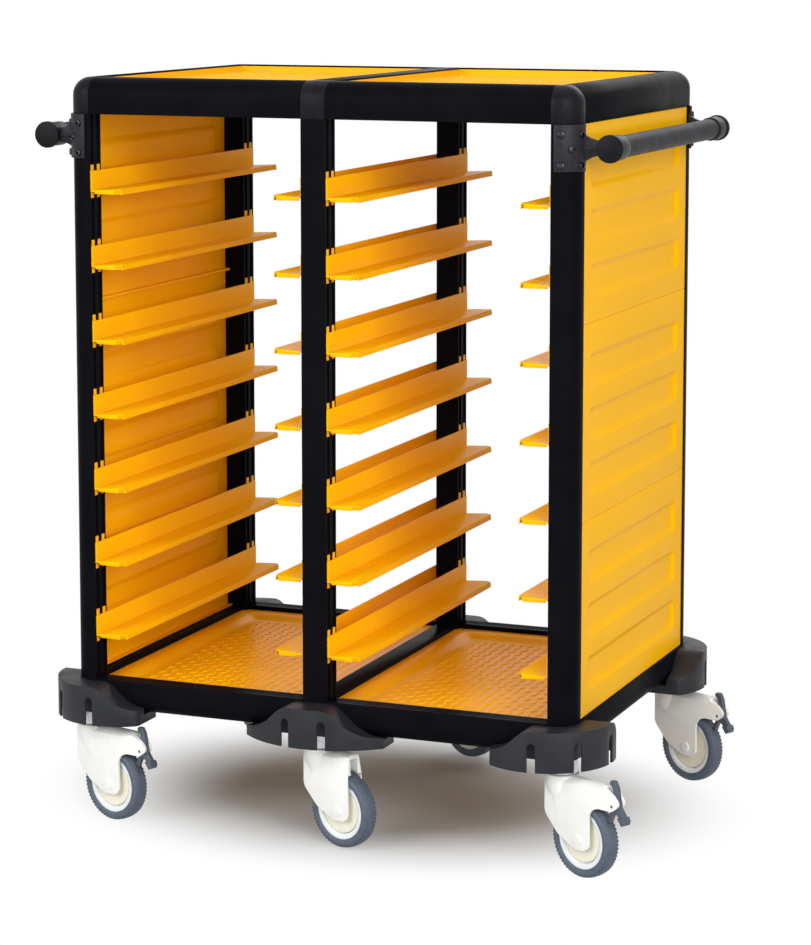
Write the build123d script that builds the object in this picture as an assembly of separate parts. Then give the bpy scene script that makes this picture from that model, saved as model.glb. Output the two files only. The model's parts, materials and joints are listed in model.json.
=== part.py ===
from build123d import *
import math
import os

# A two-bay tray trolley on six castors, in millimetres.
# The origin is on the floor under the trolley's middle: +Z is up, the open front looks along -Y.
# Pieces are modelled in the rear right quarter (+X, +Y) and mirrored to the others.

# Trays and the bays that hold them
TRAY_WIDTH = 370.0
TRAY_PLAY = 2.5
RAIL_SHEET = 2.5
BAY = TRAY_WIDTH + 2 * (TRAY_PLAY + RAIL_SHEET)

# Posts: aluminium extrusions, the corner ones with one large outer radius
POST_WIDTH = 42.0
POST_DEPTH = 44.0
POST_RADIUS = 36.0
POST_EDGE = 1.5
WALL = 3.0
CAVITY_RADIUS = 29.0
FRAME_DEPTH = 644.0
HALF_W = BAY + 1.5 * POST_WIDTH
HALF_D = FRAME_DEPTH / 2
POST_IN_X = HALF_W - POST_WIDTH
POST_IN_Y = HALF_D - POST_DEPTH
MIDDLE_HALF = POST_WIDTH / 2

# Grooves in the posts: two for the rail clips, one for the side panels' edge
CLIP_GROOVE = 11.0
CLIP_DEPTH = 3.0
CLIP_LINES = (12.0, 33.5)
PANEL_GROOVE = 4.0

# Heights of the frame
BASE_BOTTOM = 186.0
BASE_TOP = 240.0
PANEL_COUNT = 3
PANEL_HEIGHT = 316.0
TOP_BOTTOM = BASE_TOP + PANEL_COUNT * PANEL_HEIGHT
TOP_HEIGHT = 60.0
TOP = TOP_BOTTOM + TOP_HEIGHT

# Top beams: a bullnose outside and a ledge for the top plate inside
BULLNOSE = 30.0
BEAM_DEPTH = 42.0
TOP_RIM = POST_RADIUS
PLATE_SEAT = TOP - 16.0
LEDGE_WIDTH = 6.0
SPIGOT = 30.0
LEDGE_HEIGHT = 4.0

# Base beams: rounded below, grooved on top, with a ledge for the floor pan
BASE_ROUND = 26.0
BASE_RIM = 34.0
PAN_SEAT = BASE_TOP - 10.0
BASE_CROSS_RIM = 17.0
TREAD_GROOVES = (9.0, 16.0, 23.0)
TREAD_GROOVE_WIDTH = 2.0
TREAD_GROOVE_DEPTH = 1.0

# Plates, pans and panels are pressed from sheet
PLATE_SHEET = 2.0
PLATE_GAP = 0.3
PLATE_LIP = 13.0
PAN_BORDER = 16.0
PAN_SLOPE = 30.0
PAN_DROP = 9.0
PANEL_SHEET = 2.0
PANEL_INSET = 2.0
PANEL_GAP = 0.15
PANEL_HEM = 12.0
FLUTE_COUNT = 3
FLUTE_FIRST = 46.0
FLUTE_PITCH = 87.0
FLUTE_HEIGHT = 60.0
FLUTE_LENGTH = 490.0
FLUTE_DEPTH = 6.0
FLUTE_BEVEL = 14.0

# Tray rails: a web on the posts, a flange under the tray and a turned-down lip
RAIL_COUNT = 7
FIRST_RAIL = 315.0
RAIL_PITCH = 124.5
RAIL_SETBACK = 4.0
RAIL_LENGTH = FRAME_DEPTH - 2 * RAIL_SETBACK
RAIL_WEB = 32.0
RAIL_FLANGE = 52.0
RAIL_RISE = 2.5
RAIL_LIP = 9.0
RAIL_LIP_LEAN = 2.0
RAIL_END_HEM = 6.0
RAIL_END_SETBACK = 6.0
RAIL_CORNER_CUT = 8.0
RAIL_CORNER_LONG = 12.8
CLIP_GAP = 0.2
CLIP_BELOW = 13.0
CLIP_ABOVE = 10.0

# Push handles
HANDLE_OUT = 47.0
HANDLE_Z = TOP_BOTTOM - 37.0
TUBE_RADIUS = 17.5
TUBE_WALL = 2.0
SOCKET_RADIUS = 20.0
SOCKET_FRONT = 28.0
SOCKET_LENGTH = 40.0
END_DISC_RADIUS = 22.0
END_DISC = 8.0
BRACKET_HEIGHT = 73.0
BRACKET_WALL = 4.0
BRACKET_REACH = 36.0
ARM_WEB = 9.0
ARM_RIB = 4.0
ARM_NECK = 13.0
ARM_FLARE = 24.0
ARM_BEND = 18.8

# Bumpers round the feet of the posts: open shells with slots in the outer wall
BUMPER_BOTTOM = 172.0
BUMPER_TOP = 237.0
BUMPER_WALL = 4.0
BUMPER_PLATE = 4.0
BUMPER_COLLAR = 3.0
SLOT_WIDTH = 14.0
SLOT_TOP = 219.0
CORNER_BUMPER_RADIUS = 110.0
CORNER_BUMPER_CENTRE = 62.0
CORNER_BUMPER_REACH = 132.0
CORNER_PLATEAU = 58.0
CORNER_TIP = 198.0
CORNER_SLOTS = (5.0, 45.0, 85.0)
MIDDLE_BUMPER_RADIUS = 170.0
MIDDLE_BUMPER_OUT = 52.0
MIDDLE_BUMPER_REACH = 122.0
MIDDLE_PLATEAU = 26.0
MIDDLE_TIP = 189.0
MIDDLE_SLOT = 32.0
TIP_ROUND = 14.0
WING_TURN = 0.62
WING_CREST = 0.34
WING_FOOT = 0.36
WING_RISE = 6.0

# Castors
CASTOR_INSET = 24.0
HEADINGS = {
    "front_left": -18.0,
    "front_middle": -20.0,
    "front_right": -26.0,
    "rear_left": -22.0,
    "rear_middle": -24.0,
    "rear_right": -26.0,
}
WHEEL_RADIUS = 62.5
TRAIL = 53.0
TYRE_WIDTH = 28.0
TYRE_SHOULDER = 8.5
TREAD_HALF = 5.5
TYRE_SEAT = 48.0
RIM_INSET = 3.0
HUB_HALF = 14.0
BOSS_RADIUS = 14.0
WEB_INNER = 19.0
WEB_OUTER = 38.5
WEB_HALF = 9.0
AXLE_RADIUS = 6.0
AXLE_HEAD_RADIUS = 8.5
AXLE_HEAD = 2.0
RUNNING = 0.05
HEAD_RADIUS = 25.5
HEAD_BOTTOM = 161.0
HEAD_TOP = BASE_BOTTOM - BUMPER_PLATE
KINGPIN_RADIUS = 6.0
KINGPIN_BOTTOM = 122.0
RACE_RADIUS = 20.0
RACE_GAP = 0.1
STEM_RADIUS = 9.5
STEM_LENGTH = 60.0
PLUG_GAP = 0.1
PLUG_HEIGHT = 64.0

# Castor forks, their side view in (distance along the trail, z): a full back, a leg on each
# side of the wheel and cheeks that draw together toward the front
FORK_TOP = 158.0
FORK_HALF = 19.0
FORK_HEAD_RADIUS = 27.0
FORK_CROWN = 8.0
BELL_TOP = 142.0
BELL_BOTTOM = 120.0
FORK_SLOT_HALF = 15.3
FORK_SLOT_RADIUS = 66.0
FORK_BACK = (-20.5, 94.0)
FORK_HEEL = (10.0, 63.0)
FORK_TOE = (46.0, 47.5)
FORK_FRONT = 77.0
LEG_TOP = 105.0
BACK_ROUND = 20.0
HEEL_ROUND = 40.0
TOE_ROUND = 16.0
FOOT_ROUND = 13.0
CHEEK_START = 40.0
CHEEK_FRONT = 74.0
CHEEK_HALF = 12.0
CHEEK_WALL = 3.5
CHEEK_ROUND = 4.0
WINDOW_BACK = 46.0
WINDOW_TOP = 150.0

# The braked forks carry the pedal in a slotted nose
NOSE_START = 80.0
NOSE_UNDER = 122.5
NOSE_CHIN = (119.0, 120.5)
NOSE_TIP = (134.0, 133.0)
NOSE_TIP_HALF = 8.0
NOSE_BROW = (120.0, 147.0)
NOSE_CREST = 97.0
ARCH_ROUND = 20.0
CHIN_ROUND = 8.0
BROW_ROUND = 11.0

# Brake pedals: a rocker on a pin through the fork's nose, the outline relative to the pin
PEDAL_PIVOT = (119.0, 129.0)
PEDAL_HUB = 9.0
PEDAL_PIN = 2.5
PEDAL_WEB_HALF = 4.0
PEDAL_SLOT_HALF = 4.5
PEDAL_WELL_BACK = 16.0
PEDAL_PAD_HALF = 8.0
PEDAL_ARM = ((-9.0, 39.0), (-1.0, 39.0), (5.0, 29.0), (7.5, 15.0), (10.0, 0.0))
PEDAL_PAD = ((21.0, -14.0), (24.5, -21.0), (22.5, -27.0), (18.0, -28.5))
PEDAL_BACK = ((9.0, -17.0), (-6.0, -6.0), (-2.5, 20.0), (-4.0, 28.0), (-11.0, 34.0))
SHOE_HALF = 3.5
SHOE_GAP = 0.5
SHOE_REACH = math.dist(PEDAL_PIVOT, (TRAIL, WHEEL_RADIUS)) - WHEEL_RADIUS - SHOE_GAP
BRAKE_ANGLE = 20.0


def box(x0, x1, y0, y1, z0, z1):
    """A block between two corners."""
    size = Box(x1 - x0, y1 - y0, z1 - z0)
    return Pos((x0 + x1) / 2, (y0 + y1) / 2, (z0 + z1) / 2) * size


def area(x0, x1, y0, y1):
    """A rectangle between two corners."""
    return Pos((x0 + x1) / 2, (y0 + y1) / 2) * Rectangle(x1 - x0, y1 - y0)


def polygon(points):
    """A face inside straight lines through the points."""
    return make_face(Polyline(*points, close=True))


def rounded(face, corner, radius):
    """The face with its vertex nearest to a corner rounded."""
    near = face.vertices().sort_by_distance((corner[0], corner[1], 0))[0]
    return fillet(near, radius)


def along_x(face, x0, x1):
    """A section drawn in (y, z), extruded from x0 to x1."""
    plane = Plane(origin=(x0, 0, 0), x_dir=(0, 1, 0), z_dir=(1, 0, 0))
    return extrude(plane * face, amount=x1 - x0)


def along_y(face, y0, y1):
    """A section drawn in (x, z), extruded from y0 to y1."""
    plane = Plane(origin=(0, y1, 0), x_dir=(1, 0, 0), z_dir=(0, -1, 0))
    return extrude(plane * face, amount=y1 - y0)


def along_z(face, z0, z1):
    """A plan drawn in (x, y), extruded from z0 to z1."""
    return extrude(Plane.XY.offset(z0) * face, amount=z1 - z0)


def facing(shape, side_x, side_y):
    """A piece of the rear right quarter, mirrored to the quarter of the given signs."""
    if side_x < 0:
        shape = mirror(shape, about=Plane.YZ)
    if side_y < 0:
        shape = mirror(shape, about=Plane.XZ)
    return shape


def four_ways(shape):
    """The piece in all four quarters."""
    return [facing(shape, sx, sy) for sx in (-1, 1) for sy in (-1, 1)]


def sheet_section(points, thickness):
    """A bent sheet's section: a line of points and its parallel on the left, with mitred bends."""
    path = [Vector(*point) for point in points]
    runs = [(b - a).normalized() for a, b in zip(path, path[1:])]
    normals = [Vector(-run.Y, run.X) for run in runs]
    parallel = [path[0] + normals[0] * thickness]
    for before, after, point in zip(normals, normals[1:], path[1:]):
        mitre = (before + after).normalized()
        parallel.append(point + mitre * (thickness / mitre.dot(before)))
    parallel.append(path[-1] + normals[-1] * thickness)
    outline = [(p.X, p.Y) for p in path + parallel[::-1]]
    return polygon(outline)


def corner_cavity(gap):
    """The corner post's inner hollow, less a gap all round."""
    x0 = POST_IN_X + CLIP_DEPTH + WALL + gap
    y0 = POST_IN_Y + PANEL_GROOVE + WALL + gap
    x1 = HALF_W - WALL - gap
    y1 = HALF_D - WALL - gap
    return rounded(area(x0, x1, y0, y1), (x1, y1), CAVITY_RADIUS - gap)


def middle_cavity(gap):
    """The middle post's inner hollow, less a gap all round."""
    reach = MIDDLE_HALF - CLIP_DEPTH - WALL - gap
    return area(-reach, reach, POST_IN_Y + WALL + gap, HALF_D - WALL - gap)


def footprint(grow):
    """The frame's plan near a corner, grown outwards."""
    x1 = HALF_W + grow
    y1 = HALF_D + grow
    reach = 2 * CORNER_BUMPER_REACH
    return rounded(area(HALF_W - reach, x1, HALF_D - reach, y1), (x1, y1), POST_RADIUS + grow)


def clip_grooves(face_x, toward):
    """The two grooves for the rail clips in a post's face, cut toward the given side."""
    cuts = []
    for line in CLIP_LINES:
        y = HALF_D - line
        x_low, x_high = sorted((face_x, face_x + toward * CLIP_DEPTH))
        cuts.append(area(x_low, x_high, y - CLIP_GROOVE / 2, y + CLIP_GROOVE / 2))
    return cuts


def corner_post():
    """A hollow corner post with its clip grooves and its panel groove."""
    section = area(POST_IN_X, HALF_W, POST_IN_Y, HALF_D)
    section = rounded(section, (HALF_W, HALF_D), POST_RADIUS)
    for corner in ((POST_IN_X, HALF_D), (POST_IN_X, POST_IN_Y), (HALF_W, POST_IN_Y)):
        section = rounded(section, corner, POST_EDGE)
    section -= corner_cavity(0)
    for cut in clip_grooves(POST_IN_X, 1):
        section -= cut
    outer = HALF_W - PANEL_INSET
    section -= area(
        outer - PANEL_SHEET - PANEL_GAP, outer + PANEL_GAP, POST_IN_Y, POST_IN_Y + PANEL_GROOVE
    )
    return along_z(section, BASE_BOTTOM, TOP_BOTTOM)


def middle_post():
    """A hollow middle post with clip grooves in both sides."""
    section = area(-MIDDLE_HALF, MIDDLE_HALF, POST_IN_Y, HALF_D)
    section = fillet(section.vertices(), POST_EDGE)
    section -= middle_cavity(0)
    for side in (-1, 1):
        for cut in clip_grooves(side * MIDDLE_HALF, -side):
            section -= cut
    return along_z(section, BASE_BOTTOM, TOP_BOTTOM)


def top_beam_face(half, inset):
    """The top beam's section at a half width or depth, drawn inset for its hollow and spigots."""
    outside = half - inset
    rim = half - TOP_RIM + inset
    inside = half - BEAM_DEPTH + inset
    low = TOP_BOTTOM + inset
    seat = PLATE_SEAT - inset
    high = TOP - inset
    points = [(outside, low), (outside, high), (rim, high), (rim, seat), (inside, seat), (inside, low)]
    return rounded(polygon(points), (outside, high), BULLNOSE - inset)


def base_beam_face(half, inset):
    """The base beam's section at a half width or depth."""
    outside = half - inset
    rim = half - BASE_RIM + inset
    inside = half - BEAM_DEPTH + inset
    low = BASE_BOTTOM + inset
    seat = PAN_SEAT - inset
    high = BASE_TOP - inset
    points = [(outside, high), (outside, low), (inside, low), (inside, seat), (rim, seat), (rim, high)]
    return rounded(polygon(points), (outside, low), BASE_ROUND - inset)


def tread_grooves(half):
    """The fine grooves in the top of a base beam."""
    cuts = []
    for line in TREAD_GROOVES:
        v = half - line
        cuts.append(
            area(
                v - TREAD_GROOVE_WIDTH / 2,
                v + TREAD_GROOVE_WIDTH / 2,
                BASE_TOP - TREAD_GROOVE_DEPTH,
                BASE_TOP,
            )
        )
    return cuts


def hollow_beam(face_of, half, grooves):
    """A beam's section with its hollow and grooves."""
    section = face_of(half, 0) - face_of(half, WALL)
    for cut in grooves:
        section -= cut
    return section


def cross_section(bottom, top, rim_half, seat):
    """A cross beam's section: a hollow box with a ledge on each side for the plates or pans."""
    ledge = max(MIDDLE_HALF, rim_half) + LEDGE_WIDTH
    section = area(-MIDDLE_HALF, MIDDLE_HALF, bottom, seat)
    section += area(-rim_half, rim_half, seat, top)
    section += area(-ledge, ledge, seat - LEDGE_HEIGHT, seat)
    inner = min(MIDDLE_HALF, rim_half) - WALL
    section -= area(-inner, inner, bottom + WALL, top - WALL)
    return section


def corner_cap():
    """The ball corner where a post and two top beams meet, with a spigot in each."""
    axis_x = HALF_W - POST_RADIUS
    axis_y = HALF_D - POST_RADIUS
    ball = rounded(area(0, POST_RADIUS, TOP_BOTTOM, TOP), (POST_RADIUS, TOP), BULLNOSE)
    cap = Pos(axis_x, axis_y) * revolve(Plane.XZ * ball, axis=Axis.Z, revolution_arc=90)
    front = rounded(area(axis_y, HALF_D, TOP_BOTTOM, TOP), (HALF_D, TOP), BULLNOSE)
    cap += along_x(front, POST_IN_X, axis_x)
    side = rounded(area(axis_x, HALF_W, TOP_BOTTOM, TOP), (HALF_W, TOP), BULLNOSE)
    cap += along_y(side, POST_IN_Y, axis_y)
    cap += box(POST_IN_X, axis_x, POST_IN_Y, axis_y, TOP_BOTTOM, PLATE_SEAT)
    spigot = WALL + PLUG_GAP
    cap += along_x(top_beam_face(HALF_D, spigot), POST_IN_X - SPIGOT, POST_IN_X)
    cap += along_y(top_beam_face(HALF_W, spigot), POST_IN_Y - SPIGOT, POST_IN_Y)
    cap += along_z(corner_cavity(PLUG_GAP), TOP_BOTTOM - SPIGOT, TOP_BOTTOM)
    return cap


def tee_cap():
    """The cap over a middle post, where the cross beam meets two lengths of top beam."""
    rim_y = HALF_D - TOP_RIM
    front = rounded(area(rim_y, HALF_D, TOP_BOTTOM, TOP), (HALF_D, TOP), BULLNOSE)
    cap = along_x(front, -MIDDLE_HALF, MIDDLE_HALF)
    cap += box(-MIDDLE_HALF, MIDDLE_HALF, POST_IN_Y, rim_y, TOP_BOTTOM, TOP)
    spigot = WALL + PLUG_GAP
    reach = MIDDLE_HALF + SPIGOT
    cap += along_x(top_beam_face(HALF_D, spigot), -reach, reach)
    inner = MIDDLE_HALF - spigot
    cap += box(-inner, inner, POST_IN_Y - SPIGOT, POST_IN_Y, TOP_BOTTOM + spigot, TOP - spigot)
    cap += along_z(middle_cavity(PLUG_GAP), TOP_BOTTOM - SPIGOT, TOP_BOTTOM)
    return cap


def top_plate():
    """A shallow plate with a turned-up lip, seated on the ledges of the top beams."""
    x0 = MIDDLE_HALF + PLATE_GAP
    x1 = HALF_W - TOP_RIM - PLATE_GAP
    y1 = HALF_D - TOP_RIM - PLATE_GAP
    outside = box(x0, x1, -y1, y1, PLATE_SEAT, PLATE_SEAT + PLATE_LIP)
    s = PLATE_SHEET
    inside = box(x0 + s, x1 - s, -y1 + s, y1 - s, PLATE_SEAT + s, PLATE_SEAT + PLATE_LIP)
    return outside - inside


def pan_level(x0, x1, y1, inset, z):
    """A rectangle of the floor pan at one height."""
    return Plane.XY.offset(z) * area(x0 + inset, x1 - inset, -y1 + inset, y1 - inset)


def floor_pan():
    """A floor pan: a flat border on the ledges, a slope and a lower floor, notched at the posts."""
    x0 = BASE_CROSS_RIM + PLATE_GAP
    x1 = HALF_W - BASE_RIM - PLATE_GAP
    y1 = HALF_D - BASE_RIM - PLATE_GAP
    top = PAN_SEAT + PLATE_SHEET
    low = top - PAN_DROP
    far = PAN_BORDER + PAN_SLOPE
    pan = box(x0, x1, -y1, y1, PAN_SEAT, top)
    dish = loft(
        [
            pan_level(x0, x1, y1, PAN_BORDER, top),
            pan_level(x0, x1, y1, far, low),
        ]
    )
    under = loft(
        [
            pan_level(x0, x1, y1, PAN_BORDER - PLATE_SHEET, PAN_SEAT),
            pan_level(x0, x1, y1, far - PLATE_SHEET, low - PLATE_SHEET),
        ]
    )
    pan = pan + under - dish
    for side in (-1, 1):
        y_low, y_high = sorted((side * (POST_IN_Y - PLATE_GAP), side * HALF_D))
        pan -= box(0, MIDDLE_HALF + PLATE_GAP, y_low, y_high, BASE_BOTTOM, BASE_TOP)
        pan -= box(POST_IN_X - PLATE_GAP, HALF_W, y_low, y_high, BASE_BOTTOM, BASE_TOP)
    return pan


def flute(top, grow):
    """One horizontal flute of a side panel: a drafted pocket pressed in from outside."""
    outer = HALF_W - PANEL_INSET
    bottom = top - FLUTE_HEIGHT
    half = FLUTE_LENGTH / 2
    facing_plane = Plane(origin=(outer - grow, 0, 0), x_dir=(0, 1, 0), z_dir=(-1, 0, 0))
    deep_plane = facing_plane.offset(FLUTE_DEPTH)
    mouth = area(-half - grow, half + grow, -top - grow, -bottom + grow)
    bevel = FLUTE_BEVEL - grow
    floor = area(-half + bevel, half - bevel, -top + bevel, -bottom - bevel)
    return loft([facing_plane * mouth, deep_plane * floor])


def side_panel(level):
    """One pressed panel between the posts, with hems that meet the next panel or the frame."""
    outer = HALF_W - PANEL_INSET
    inner = outer - PANEL_SHEET
    z0 = BASE_TOP + level * PANEL_HEIGHT
    z1 = z0 + PANEL_HEIGHT
    edge = POST_IN_Y + PANEL_GROOVE
    clear = POST_IN_Y - PLATE_GAP
    panel = box(inner, outer, -edge, edge, z0, z1)
    panel += box(outer - PANEL_HEM, outer, -clear, clear, z0, z0 + PANEL_SHEET)
    panel += box(outer - PANEL_HEM, outer, -clear, clear, z1 - PANEL_SHEET, z1)
    tops = [z1 - FLUTE_FIRST - index * FLUTE_PITCH for index in range(FLUTE_COUNT)]
    for top in tops:
        panel += flute(top, PANEL_SHEET)
    for top in tops:
        panel -= flute(top, 0)
    return panel


def rail(level):
    """A tray rail on the inner face of the right-hand posts, its flange toward -X."""
    z = FIRST_RAIL + level * RAIL_PITCH
    x = POST_IN_X
    half = RAIL_LENGTH / 2
    free = x - RAIL_FLANGE
    path = [
        (free - RAIL_LIP_LEAN, z + RAIL_RISE - RAIL_LIP),
        (free, z + RAIL_RISE),
        (x - RAIL_SHEET, z),
        (x - RAIL_SHEET, z + RAIL_WEB),
    ]
    piece = along_y(sheet_section(path, -RAIL_SHEET), -half, half)
    for side in (-1, 1):
        end = side * half
        y_low, y_high = sorted((end, end - side * RAIL_SHEET))
        piece += box(
            free + RAIL_CORNER_CUT,
            x - RAIL_END_SETBACK,
            y_low,
            y_high,
            z - RAIL_END_HEM,
            z,
        )
        cut = RAIL_CORNER_CUT
        lip_x = free - RAIL_LIP_LEAN - RAIL_SHEET
        corner = polygon([(lip_x, end), (lip_x, end - side * RAIL_CORNER_LONG), (free + cut, end)])
        piece -= along_z(corner, z - RAIL_LIP, z + RAIL_LIP)
        for line in CLIP_LINES:
            y = side * (HALF_D - line)
            reach = CLIP_GROOVE / 2 - CLIP_GAP
            piece += box(
                x,
                x + CLIP_DEPTH - CLIP_GAP,
                y - reach,
                y + reach,
                z - CLIP_BELOW,
                z + RAIL_WEB + CLIP_ABOVE,
            )
    return piece


def handle_tube():
    """The right push handle's tube, seated in its two sockets."""
    end = HALF_D - SOCKET_FRONT
    ring = Circle(TUBE_RADIUS) - Circle(TUBE_RADIUS - TUBE_WALL)
    return along_y(Pos(HALF_W + HANDLE_OUT, HANDLE_Z) * ring, -end, end)


def handle_bracket():
    """A bracket that wraps the post's round corner and carries the tube's socket on a ribbed arm."""
    axis_x = HALF_W + HANDLE_OUT
    z0 = TOP_BOTTOM - BRACKET_HEIGHT
    wrap = footprint(BRACKET_WALL) - footprint(0)
    far_x = HALF_W + BRACKET_WALL
    far_y = HALF_D + BRACKET_WALL
    wrap &= area(HALF_W - BRACKET_REACH, far_x, HALF_D - BRACKET_REACH, far_y)
    bracket = along_z(wrap, z0, TOP_BOTTOM)
    root = HALF_W
    bend = HALF_W + ARM_BEND
    neck = axis_x - SOCKET_RADIUS / 2
    high = HANDLE_Z + ARM_NECK
    low = HANDLE_Z - ARM_NECK
    upper = ThreePointArc((root, HANDLE_Z + ARM_FLARE), (bend, high), (neck, high))
    lower = ThreePointArc((neck, low), (bend, low), (root, HANDLE_Z - ARM_FLARE))
    front_end = Line(upper @ 1, lower @ 0)
    root_end = Line(lower @ 1, upper @ 0)
    web = make_face([*upper.edges(), front_end, *lower.edges(), root_end])
    socket_y0 = HALF_D - SOCKET_FRONT - SOCKET_LENGTH
    socket_y1 = HALF_D - SOCKET_FRONT
    mid = HALF_D - POST_RADIUS
    bracket += along_y(web, mid - ARM_WEB / 2, mid + ARM_WEB / 2)
    bracket += box(
        root, axis_x, HALF_D - BRACKET_REACH, socket_y1, HANDLE_Z - ARM_RIB / 2, HANDLE_Z + ARM_RIB / 2
    )
    place = Pos(axis_x, HANDLE_Z)
    bracket += along_y(place * Circle(SOCKET_RADIUS), socket_y0, socket_y1)
    bracket -= along_y(place * Circle(TUBE_RADIUS), socket_y0 - 1, socket_y1 + 1)
    bracket -= along_z(footprint(0), z0, TOP_BOTTOM)
    return bracket


def handle_end_cap():
    """The disc that closes a socket, with a plug inside the tube."""
    place = Pos(HALF_W + HANDLE_OUT, HANDLE_Z)
    y = HALF_D - SOCKET_FRONT
    cap = along_y(place * Circle(END_DISC_RADIUS), y, y + END_DISC)
    return cap + along_y(place * Circle(TUBE_RADIUS - TUBE_WALL - PLUG_GAP), y - END_DISC, y)


def wing_cut(half, plateau, reach, tip, drop):
    """What lies above a bumper wing's sloping top, drawn in (distance from the middle, z)."""
    start = half - plateau
    end = half - reach
    high = BUMPER_TOP - drop
    low = tip - drop
    span = start - end
    if drop:
        slope = Polyline((start, high), (start - WING_TURN * span, low), (end, low))
    else:
        crest = (start - WING_CREST * span, high)
        foot = (start - WING_FOOT * span, low + WING_RISE)
        slope = Bezier((start, high), crest, foot, (end, low))
    over = BASE_TOP + WALL
    beyond = end - reach
    lid = Polyline((end, low), (beyond, low), (beyond, over), (start, over), (start, high))
    return make_face([*slope.edges(), *lid.edges()])


def corner_bumper_plan(inset, inner):
    """A corner bumper's plan: a round outline over two wings along the beams."""
    centre = Pos(HALF_W - CORNER_BUMPER_CENTRE, HALF_D - CORNER_BUMPER_CENTRE)
    disc = centre * Circle(CORNER_BUMPER_RADIUS - inset)
    reach = CORNER_BUMPER_REACH - inset
    far = CORNER_BUMPER_RADIUS
    front = area(HALF_W - reach, HALF_W + far, POST_IN_Y - inner, HALF_D + far)
    side = area(POST_IN_X - inner, HALF_W + far, HALF_D - reach, HALF_D + far)
    plan = disc & (front + side)
    plan = rounded(plan, (HALF_W - reach, HALF_D + CORNER_BUMPER_CENTRE / 3), TIP_ROUND - inset)
    return rounded(plan, (HALF_W + CORNER_BUMPER_CENTRE / 3, HALF_D - reach), TIP_ROUND - inset)


def corner_wings(drop):
    """The two cuts above a corner bumper's wings."""
    cut_x = wing_cut(HALF_W, CORNER_PLATEAU, CORNER_BUMPER_REACH, CORNER_TIP, drop)
    cut_y = wing_cut(HALF_D, CORNER_PLATEAU, CORNER_BUMPER_REACH, CORNER_TIP, drop)
    far = CORNER_BUMPER_RADIUS
    front = along_y(cut_x, POST_IN_Y - WALL, HALF_D + far)
    side = along_x(cut_y, POST_IN_X - WALL, HALF_W + far)
    return [front, side]


def slot_cut(width, length):
    """A bumper slot's cutter along +X from the origin: open below, round at the top."""
    high = SLOT_TOP - width / 2
    face = area(-width / 2, width / 2, BUMPER_BOTTOM - WALL, high) + Pos(0, high) * Circle(width / 2)
    return along_x(face, 0, length)


def corner_bumper():
    """A corner bumper: a shell with a collar on the frame and a plate under the post's foot."""
    shell = along_z(corner_bumper_plan(0, 0), BUMPER_BOTTOM, BUMPER_TOP)
    for cut in corner_wings(0):
        shell -= cut
    plan = corner_bumper_plan(BUMPER_WALL, BUMPER_WALL)
    hollow = along_z(plan, BUMPER_BOTTOM, BUMPER_TOP - BUMPER_WALL)
    for cut in corner_wings(BUMPER_WALL):
        hollow -= cut
    hollow -= along_z(footprint(BUMPER_COLLAR), HEAD_TOP, BASE_TOP)
    shell -= hollow
    shell -= along_z(footprint(0), BASE_BOTTOM, BASE_TOP)
    start = CORNER_BUMPER_RADIUS - 3 * BUMPER_WALL
    centre = Pos(HALF_W - CORNER_BUMPER_CENTRE, HALF_D - CORNER_BUMPER_CENTRE)
    for angle in CORNER_SLOTS:
        shell -= centre * Rot(0, 0, angle) * Pos(start, 0, 0) * slot_cut(SLOT_WIDTH, 6 * BUMPER_WALL)
    x = HALF_W - CASTOR_INSET
    y = HALF_D - CASTOR_INSET
    shell -= along_z(Pos(x, y) * Circle(STEM_RADIUS + PLUG_GAP), HEAD_TOP, BASE_BOTTOM)
    return shell


def middle_bumper_plan(inset, inner):
    """A middle bumper's plan: a wide arc in front of the beam."""
    centre = Pos(0, HALF_D + MIDDLE_BUMPER_OUT - MIDDLE_BUMPER_RADIUS)
    disc = centre * Circle(MIDDLE_BUMPER_RADIUS - inset)
    reach = MIDDLE_BUMPER_REACH - inset
    return disc & area(-reach, reach, POST_IN_Y - inner, HALF_D + MIDDLE_BUMPER_RADIUS)


def middle_wings(drop):
    """The two cuts above a middle bumper's wings."""
    face = wing_cut(0, MIDDLE_PLATEAU, MIDDLE_BUMPER_REACH, MIDDLE_TIP, drop)
    cut = along_y(face, POST_IN_Y - WALL, HALF_D + MIDDLE_BUMPER_RADIUS)
    return [cut, mirror(cut, about=Plane.YZ)]


def middle_bumper():
    """A middle bumper: a shell with a collar on the beam and a plate under the post's foot."""
    shell = along_z(middle_bumper_plan(0, 0), BUMPER_BOTTOM, BUMPER_TOP)
    for cut in middle_wings(0):
        shell -= cut
    plan = middle_bumper_plan(BUMPER_WALL, BUMPER_WALL)
    hollow = along_z(plan, BUMPER_BOTTOM, BUMPER_TOP - BUMPER_WALL)
    for cut in middle_wings(BUMPER_WALL):
        hollow -= cut
    wide = MIDDLE_BUMPER_REACH + WALL
    low = POST_IN_Y - BUMPER_WALL - WALL
    hollow -= box(-wide, wide, low, HALF_D + BUMPER_COLLAR, HEAD_TOP, BASE_TOP)
    shell -= hollow
    shell -= box(-wide, wide, low, HALF_D, BASE_BOTTOM, BASE_TOP)
    for side in (-1, 1):
        spot = Pos(side * MIDDLE_SLOT, HALF_D + 3 * BUMPER_COLLAR, 0) * Rot(0, 0, 90)
        shell -= spot * slot_cut(SLOT_WIDTH, MIDDLE_BUMPER_OUT)
    hole = Pos(0, HALF_D - CASTOR_INSET) * Circle(STEM_RADIUS + PLUG_GAP)
    shell -= along_z(hole, HEAD_TOP, BASE_BOTTOM)
    return shell


def post_plug(cavity, x, y):
    """The plug in a post's foot that takes a castor's stem."""
    section = cavity(PLUG_GAP) - Pos(x, y) * Circle(STEM_RADIUS)
    return along_z(section, BASE_BOTTOM, BASE_BOTTOM + PLUG_HEIGHT)


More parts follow.
